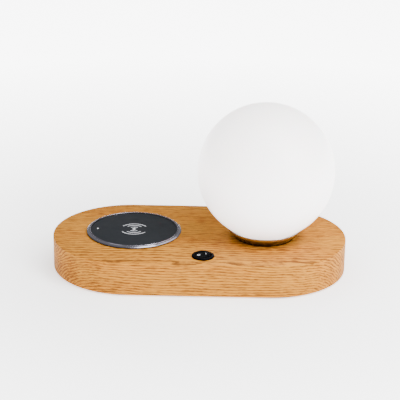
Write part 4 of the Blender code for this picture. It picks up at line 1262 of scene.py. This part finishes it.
@dataclass
class GlobeLamp(Assembly):
    """Opal globe, its threaded ring and gasket, the polished gallery, lampholder and bulb."""

    glass: float = 2.5 * MM
    neck: float = 26.0 * MM
    thread_pitch: float = 3.0 * MM
    thread_depth: float = 0.9 * MM
    gasket_width: float = 3.4 * MM
    gallery_wall: float = 1.2 * MM
    gallery_bead: float = 0.45 * MM
    holder_bore: tuple[float, float] = (5.2 * MM, 6.3 * MM)      # radius and depth from below
    holder_step: float = 1.4 * MM
    pin_hole: tuple[float, float] = (0.95 * MM, 1.5 * MM)        # radius below and at its mouth
    dome_wall: float = 0.8 * MM

    def build(self) -> None:
        """Make every piece of the lamp."""
        spot = place_of("opal_globe")
        self.axis = spot.axis
        self.radius = spot.radius
        self.centre = spot.high[2] - spot.radius
        self.globe(spot.low[2])
        self.neck_ring()
        self.gasket()
        self.gallery()
        self.lampholder()
        self.bulb()
        self.pins()

    def skin(self, radius: float, neck: float, steps: int) -> np.ndarray:
        """(r, z) points from the top pole to the neck: r = R sin(a), z = centre + R cos(a).

        Args:
            radius: The skin's radius.
            neck: Radius at which it meets the neck.
            steps: Points along it.

        Returns:
            The points, the first on the axis.
        """
        a = np.linspace(0, np.pi - np.arcsin(neck / radius), steps)
        return np.stack([radius * np.sin(a), self.centre + radius * np.cos(a)], axis=1)

    def globe(self, foot: float) -> None:
        """Blown opal shell: outer and inner spheres joined by a short straight neck.

        Args:
            foot: Height of the neck's end.
        """
        outer = self.skin(self.radius, self.neck, 120)
        inner = self.skin(self.radius - self.glass, self.neck - self.glass, 110)
        lip = self.glass / 2
        a = np.linspace(0, -np.pi, 9)
        bead = np.stack([self.neck - lip + lip * np.cos(a), foot + lip + lip * np.sin(a)], axis=1)
        profile = np.concatenate([outer, bead, inner[::-1]])
        self.piece("opal_shade", lathe(profile, self.axis, 224), "opal_glass", "globe",
                   ["opal_globe"], sharp=50)

    def neck_ring(self) -> None:
        """Threaded ring on the neck: the outer radius follows a helix of the thread's pitch."""
        low, high, _ = spot = place_of("globe_neck_ring")
        bore, crest = self.neck + 0.3 * MM, spot.radius
        root = crest - self.thread_depth
        rows = np.linspace(low[2] + 0.3 * MM, high[2] - 0.3 * MM, 60)
        wall = np.stack([np.full(60, root), rows], axis=1)
        loop = np.concatenate([[[bore, low[2]], [root - 0.3 * MM, low[2]]], wall,
                               [[root - 0.3 * MM, high[2]], [bore, high[2]]]])

        def thread(angle: np.ndarray, r: np.ndarray, z: np.ndarray) -> np.ndarray:
            """Rounded helix: swells by the thread's depth once each pitch, fading at the ends."""
            wave = 0.5 + 0.5 * np.cos(TAU * (z / self.thread_pitch - angle / TAU))
            fade = np.clip(np.minimum(z - low[2], high[2] - z) / self.thread_depth, 0, 1)
            return r + np.where(np.abs(r - root) < 1e-7, (crest - root) * wave ** 1.5 * fade, 0.0)

        self.piece("threaded_neck_ring", turned(loop, (*self.axis, 0), 128, flute=thread),
                   "white_plastic", "globe_neck_ring", ["globe_neck_ring"])

    def gasket(self) -> None:
        """Silicone gasket with two soft lips under the glass."""
        outer, z0, z1 = place_of("shade_gasket").span
        inner = outer - self.gasket_width
        profile = rounded([(inner, z0, 0.3 * MM), (outer, z0, 0.3 * MM),
                           (outer, z1 - 0.1 * MM, 0.4 * MM),
                           (outer - 0.9 * MM, z1 - 0.45 * MM, 0.3 * MM),
                           (outer - 1.6 * MM, z1 - 1.2 * MM, 0.4 * MM),
                           (inner + 1.0 * MM, z1 - 1.25 * MM, 0.4 * MM),
                           (inner, z1 - 1.7 * MM, 0.4 * MM)], 5)
        self.piece("lipped_gasket", turned(profile, (*self.axis, 0), 128), "silicone",
                   "shade_gasket", ["shade_gasket"])

    def gallery(self) -> None:
        """Polished gallery: a cup in the wood that flares to a dish with a rolled rim."""
        spot = place_of("lamp_gallery")
        rim, wall, bead = spot.radius, self.gallery_wall, self.gallery_bead
        collar = place_of("globe_neck_ring").radius + 0.4 * MM
        z0, z1 = spot.low[2] - TOP, spot.high[2] - TOP
        flare = rounded([(collar + wall, 0.2 * MM), (collar + wall, 0.5 * MM, 0.4 * MM),
                         (rim - 0.3 * MM, z1 - 2.9 * MM, 0.8 * MM), (rim, z1 - 2.3 * MM, 0.3 * MM),
                         (rim, z1 - 0.6 * MM)], 5, closed=False)
        a = np.linspace(0, np.pi, 9)
        roll = np.stack([rim - bead + bead * np.cos(a), z1 - bead + bead * np.sin(a)], axis=1)
        seat = place_of("shade_gasket").low[2] - TOP - 0.3 * MM
        hole = place_of("threaded_nipple").radius + 0.3 * MM
        profile = np.concatenate([
            [[hole, z0], [collar + wall - 0.4 * MM, z0], [collar + wall, z0 + 0.4 * MM]],
            flare, roll,
            [[rim - 2 * bead - 0.5 * MM, seat + 0.4 * MM], [rim - 2 * bead - 0.9 * MM, seat],
             [collar + 0.3 * MM, seat], [collar, seat - 0.3 * MM], [collar, z0 + wall + 0.3 * MM],
             [collar - 0.3 * MM, z0 + wall], [hole, z0 + wall]]])
        self.piece("polished_gallery", turned(profile, (*self.axis, TOP), 224), "chrome",
                   "base", ["lamp_gallery"], sharp=40)

    def lampholder(self) -> None:
        """Glazed ceramic lampholder with ribs, a stepped top and two pin holes."""
        spot = place_of("lampholder")
        r, foot, top = spot.span
        bore, depth = self.holder_bore
        step = r - self.holder_step

        def ribs(angle: np.ndarray, radius: np.ndarray, z: np.ndarray) -> np.ndarray:
            """Twelve shallow hollows round the lower part: r - depth * cos(6 a)^2."""
            on = (radius > r - 0.1 * MM) & (z < top - 6 * MM)
            return radius - np.where(on, 0.35 * MM * np.cos(6 * angle) ** 2, 0.0)

        shape = lathe([(0, foot + depth), (bore, foot + depth), (bore, foot),
                       (r, foot, 0.8 * MM), (r, top - 6 * MM, 0.5 * MM),
                       (step, top - 5 * MM, 0.5 * MM), (step, top, 1.0 * MM), (0, top)],
                      spot.axis, 96, flute=ribs)
        narrow, mouth = self.pin_hole
        tools = [lathe([(0, -9 * MM), (narrow, -9 * MM), (narrow, -0.3 * MM),
                        (mouth, 0.3 * MM), (mouth, 2 * MM), (0, 2 * MM)],
                       place_of(f"bulb_pin_{number}").axis, 24, foot=top) for number in (1, 2)]
        self.piece("ribbed_lampholder", shape, "ceramic", "base", ["lampholder"], tools=tools)

    def bulb(self) -> None:
        """Push-in bulb: a base with cooling grooves and a frosted dome."""
        spot = place_of("bulb_base")
        r, foot, top = spot.span

        def fins(angle: np.ndarray, radius: np.ndarray, z: np.ndarray) -> np.ndarray:
            """Sixteen cooling grooves: the radius dips where cos(16 a) is high."""
            on = (radius > r - 0.05 * MM) & (z > foot + 4 * MM)
            return radius - np.where(on, 0.4 * MM * np.clip(np.cos(16 * angle), 0, 1), 0.0)

        shape = lathe([(0, foot), (r - 1.5 * MM, foot, 0.4 * MM), (r, foot + 4 * MM, 0.6 * MM),
                       (r, top - 0.8 * MM, 0.3 * MM), (r - 0.5 * MM, top, 0.2 * MM), (0, top)],
                      spot.axis, 128, flute=fins)
        self.piece("finned_bulb_base", shape, "white_plastic", "bulb", ["bulb_base"])
        spot = place_of("bulb_dome")
        r, foot, top = spot.span
        inner = r - self.dome_wall
        a = np.linspace(0, np.pi / 2, 24)
        skins = [np.stack([q * np.sin(a), top - r + q * np.cos(a)], axis=1) for q in (r, inner)]
        profile = np.concatenate([skins[0], [[r, foot], [inner, foot]], skins[1][::-1]])
        self.piece("frosted_dome", lathe(profile, spot.axis, 80), "opal_glass", "bulb",
                   ["bulb_dome"], sharp=50)

    def pins(self) -> None:
        """The bulb's two contact pins with rounded tips."""
        for number in (1, 2):
            spot = place_of(f"bulb_pin_{number}")
            r, foot, top = spot.span
            shape = lathe([(0, foot), (r, foot, 0.5 * MM), (r, top, 0.2 * MM), (0, top)],
                          spot.axis, 24, 6)
            self.piece(f"bulb_contact_{number}", shape, "steel", "bulb", [f"bulb_pin_{number}"])


# -- Rocker switch -----------------------------------------------------------

@dataclass
class RockerSwitch(Assembly):
    """Round switch: flanged housing, tilted rocker and its two printed marks."""

    opening: float = 8.6 * MM
    barrel: float = 10.1 * MM
    floor: float = 1.5 * MM
    terminal_slot: tuple[float, float, float] = (1.4 * MM, 5.4 * MM, 6 * MM)
    tilt: float = -12.0
    slope: float = 12.0
    valley: float = 2.6 * MM
    bottom: float = 5.0 * MM
    ball: float = 8.3 * MM
    sharpness: float = 26.0              # power of the blend between ball, planes and foot
    pin: tuple[float, float] = (1.2 * MM, 9.8 * MM)      # radius and half its length
    mark_reach: float = 3.6 * MM
    mark_line: tuple[float, float] = (0.45 * MM, 0.05 * MM)      # width and thickness

    def build(self) -> None:
        """Make the housing, the rocker and the marks."""
        joint = next(j for j in frame["joints"] if j["name"] == "rocker_tilt")
        self.pivot = np.array(joint["pos_m"])
        self.housing()
        self.rocker()
        self.marks()

    def tipped(self, shape: Surface) -> Surface:
        """A shape about the pivot, tipped as the rocker rests and moved to its place."""
        return shape.tilted(np.radians(self.tilt)).moved(self.pivot)

    def housing(self) -> None:
        """Flange with a domed rim, a chamfered mouth and a plain barrel."""
        spot = place_of("switch_housing")
        r, z0, z1 = spot.radius, spot.low[2] - TOP, spot.high[2] - TOP
        floor = z0 + self.floor
        shape = lathe([(0, z0), (self.barrel, z0, 0.6 * MM), (self.barrel, 0.3 * MM),
                       (r, 0.3 * MM, 0.15 * MM), (r, z1 - 0.9 * MM, 0.8 * MM),
                       (r - 1.0 * MM, z1, 0.7 * MM), (self.opening + 0.35 * MM, z1, 0.25 * MM),
                       (self.opening, z1 - 0.4 * MM, 0.25 * MM), (self.opening, floor),
                       (0, floor)], spot.axis, 128, 7, TOP)
        tools = [block(self.terminal_slot, (*place_of(f"switch_terminal_{end}").axis, spot.low[2]))
                 for end in ("common", "load")]
        self.piece("flanged_housing", shape, "rocker_plastic", "base", ["switch_housing"],
                   slot="black_plastic", tools=tools)

    def reach(self, d: np.ndarray) -> np.ndarray:
        """Distance from the pivot to the rocker's skin along unit directions.

        The rocker is a ball cut by two planes that rise from a middle valley, and by a flat
        foot: 1 / distance = p-norm of 1/ball, (dz - |dx| tan(slope)) / valley and -dz / foot.

        Args:
            d: Unit directions.

        Returns:
            The distances.
        """
        ball, power = self.ball, self.sharpness
        rise = np.tan(np.radians(self.slope))
        soft_x = np.sqrt(d[..., 0] ** 2 + 0.0016)
        up = np.clip(d[..., 2] - soft_x * rise, 1e-6, None) / self.valley
        down = np.clip(-d[..., 2], 1e-6, None) / self.bottom
        scale = 1.0 / ball
        return ball * ((up / scale) ** power + (down / scale) ** power + 1.0) ** (-1.0 / power)

    def rocker(self) -> None:
        """The rocker as one smooth skin about its pivot, with its pin."""
        polar = np.linspace(0, np.pi, 130)[1:-1, None]
        turn = np.linspace(0, TAU, 192, endpoint=False)[None, :]
        d = np.stack([np.sin(polar) * np.cos(turn), np.sin(polar) * np.sin(turn),
                      np.cos(polar) + 0 * turn], axis=-1)
        poles = np.array([[0, 0, 1.0], [0, 0, -1.0]])
        shape = pole_ended(d * self.reach(d)[..., None], poles * self.reach(poles)[:, None])
        self.piece("smooth_rocker", self.tipped(shape), "rocker_plastic", "rocker", ["rocker"],
                   sharp=60)
        r, half = self.pin
        axle = lathe([(0, -half), (r, -half), (r, half), (0, half)], (0, 0), 24)
        self.piece("rocker_axle", axle.along_y().moved(self.pivot), "rocker_plastic", "rocker")

    def on_skin(self, x: np.ndarray, y: np.ndarray) -> np.ndarray:
        """Points of the rocker's top over (x, y), found by three steps along the skin.

        Args:
            x: Places across the rocker.
            y: Places along its pin.

        Returns:
            The points before the rocker is tilted.
        """
        z = self.valley + np.abs(x) * np.tan(np.radians(self.slope))
        for _ in range(3):
            p = np.stack([x, y, z], axis=-1)
            size = np.linalg.norm(p, axis=-1)
            z = z * self.reach(p / size[..., None]) / size
        return np.stack([x, y, z + 0.01 * MM], axis=-1)

    def marks(self) -> None:
        """A ring on one half for off and a bar on the other for on."""
        a = np.linspace(0, TAU, 48, endpoint=False)
        ring = self.on_skin(-self.mark_reach + 1.25 * MM * np.cos(a), 1.55 * MM * np.sin(a))
        out = np.stack([np.cos(a), np.sin(a), 0 * a], axis=1)
        t = np.linspace(-1.6 * MM, 1.6 * MM, 12)
        bar = self.on_skin(np.full_like(t, self.mark_reach), t)
        side = np.broadcast_to([1.0, 0.0, 0.0], bar.shape)
        for name, line, across in (("mark_off", ring, out), ("mark_on", bar, side)):
            shape = strip(line, across, *self.mark_line, closed=line is ring)
            self.piece(name, self.tipped(shape), "ink", "rocker", slot="rocker_plastic")


# -- Power inlet -------------------------------------------------------------

@dataclass
class PowerInlet(Assembly):
    """The recessed jack at the back and its centre pin."""

    barrel: float = 3.9 * MM
    bore: tuple[float, float] = (2.75 * MM, 11 * MM)     # radius and depth
    thread_pitch: float = 0.75 * MM
    thread_depth: float = 0.15 * MM

    def build(self) -> None:
        """Make the jack and the pin."""
        self.jack()
        self.centre_pin()

    def jack(self) -> None:
        """Body and threaded barrel, worked out about Z and laid along Y."""
        low, high, mid = spot = place_of("inlet_jack")
        (bore, depth), body, end = self.bore, spot.radius, high[1]
        root = self.barrel - self.thread_depth
        seat = place_of("inlet_nut").low[1] - 5.6 * MM
        rows = np.linspace(seat + 0.3 * MM, end - 0.5 * MM, 70)
        profile = np.concatenate([
            [[0, low[1]], [body - 0.4 * MM, low[1]], [body, low[1] + 0.4 * MM], [body, seat]],
            np.stack([np.full(70, root), rows], axis=1),
            [[self.barrel - 0.4 * MM, end], [bore + 0.3 * MM, end], [bore, end - 0.3 * MM],
             [bore, end - depth], [0, end - depth]]])

        def thread(angle: np.ndarray, r: np.ndarray, z: np.ndarray) -> np.ndarray:
            """Fine helix on the barrel: a cosine of z/pitch - angle/turn."""
            wave = np.cos(TAU * (z / self.thread_pitch - angle / TAU))
            return r + np.where(np.abs(r - root) < 1e-7, 0.14 * MM * wave, 0.0)

        shape = lathe(profile, (0, 0), 64, flute=thread).along_y()
        self.piece("threaded_jack", shape.moved((mid[0], 0, mid[2])), "black_plastic", "base",
                   ["inlet_jack"])

    def centre_pin(self) -> None:
        """The jack's centre pin with a rounded tip."""
        low, high, mid = spot = place_of("inlet_pin")
        r = spot.radius
        shape = lathe([(0, low[1]), (r, low[1]), (r, high[1], 0.9 * MM), (0, high[1])], (0, 0),
                      32, 8).along_y()
        self.piece("contact_pin", shape.moved((mid[0], 0, mid[2])), "steel", "base",
                   ["inlet_pin"])


# -- Studio ------------------------------------------------------------------

@dataclass
class Studio:
    """Pale floor, soft lights and the camera."""

    azimuth: float = 0.738
    elevation: float = 23.73
    distance: float = 1.5111
    pitch: float = 2.567
    roll: float = 0.832
    lens: float = 131.09
    world: float = 0.55
    half_floor: float = 6.0
    glow: tuple[float, float] = (1.6, 7.0)               # of the floor, near and far away
    glow_reach: tuple[float, float] = (0.15, 0.80)       # where the one turns to the other
    aim: float = 0.05                                    # height that the lights look at
    lights: list = field(default_factory=lambda: [
        ("key", (1.25, -1.00, 1.20), 0.8, 48.0),
        ("fill", (-1.15, -1.05, 0.80), 1.0, 4.0),
        ("overhead", (0.42, -0.25, 1.40), 1.0, 30.0),
    ])

    def build(self) -> None:
        """Make the camera, the floor, the lights and the pale surroundings."""
        self.camera()
        self.floor()
        for name, place, size, power in self.lights:
            self.light(name, Vector(place), size, power)
        world = bpy.data.worlds.new("pale_room")
        world.use_nodes = True
        back = world.node_tree.nodes["Background"]
        back.inputs["Color"].default_value = (1.0, 1.0, 1.0, 1.0)
        back.inputs["Strength"].default_value = self.world
        bpy.context.scene.world = world

    def camera(self) -> None:
        """Camera on a sphere about the origin, raised by its pitch and turned by its roll."""
        az, el, pitch, roll = np.radians([self.azimuth, self.elevation, self.pitch, self.roll])
        back = np.array([np.sin(az) * np.cos(el), -np.cos(az) * np.cos(el), np.sin(el)])
        right = np.array([np.cos(az), np.sin(az), 0.0])
        up = np.cross(back, right)
        ahead = up * np.sin(pitch) - back * np.cos(pitch)
        over = up * np.cos(pitch) + back * np.sin(pitch)
        side = right * np.cos(roll) + over * np.sin(roll)
        over = over * np.cos(roll) - right * np.sin(roll)
        frame_axes = np.eye(4)
        frame_axes[:3] = np.stack([side, over, -ahead, back * self.distance], axis=1)
        data = bpy.data.cameras.new("studio_camera")
        data.lens = self.lens
        data.sensor_width = 36.0
        item = bpy.data.objects.new("studio_camera", data)
        item.matrix_world = Matrix(frame_axes.tolist())
        bpy.context.scene.collection.objects.link(item)
        bpy.context.scene.camera = item

    def floor(self) -> None:
        """A wide pale floor under the feet."""
        signs = np.array([[-1, -1, 0], [1, -1, 0], [1, 1, 0], [-1, 1, 0]])
        corners = self.half_floor * signs
        item = raw_object("studio_floor", Surface(corners, [[0, 1, 2, 3]]))
        g = Graph("studio_floor")
        soft = g.noise(g.object_place, 3.0, 2.0)
        x, y, _ = g.split(g.object_place)
        g.set(Base_Color=g.ramp(soft, ((0.3, (0.93, 0.93, 0.93)), (0.7, (0.95, 0.95, 0.95)))),
              Roughness=0.9, Specular_IOR_Level=0.1, Emission_Color=(1.0, 1.0, 1.0),
              Emission_Strength=g.fit(g.length(x, y), *self.glow_reach, *self.glow))
        item.data.materials.append(g.material)

    def light(self, name: str, place: Vector, size: float, power: float) -> None:
        """One square area light aimed at the object.

        Args:
            name: The light's name.
            place: Where it stands.
            size: Side of the square.
            power: Its power in watts.
        """
        data = bpy.data.lights.new(name, "AREA")
        data.shape = "SQUARE"
        data.size = size
        data.energy = power
        item = bpy.data.objects.new(name, data)
        item.location = place
        ahead = Vector((0.0, 0.0, self.aim)) - place
        item.rotation_euler = ahead.to_track_quat("-Z", "Y").to_euler()
        bpy.context.scene.collection.objects.link(item)


# -- Whole object ------------------------------------------------------------

def dress_nodes(finishes: Finishes) -> None:
    """Give every CAD node the finish of its material slot.

    Args:
        finishes: The object's finishes.
    """
    for entry in frame["record"]["subparts"]:
        finishes.dress(frame["nodes"][entry["node"]], entry["material_slot"])


def main() -> None:
    """Build the studio and each sub-assembly in order."""
    finishes = Finishes()
    Studio().build()
    dress_nodes(finishes)
    for assembly in (OakBase, ChargingPad, GlobeLamp, RockerSwitch, PowerInlet):
        log.info("building %s", assembly.__name__)
        assembly(finishes).build()


if __name__ == "__main__":
    main()
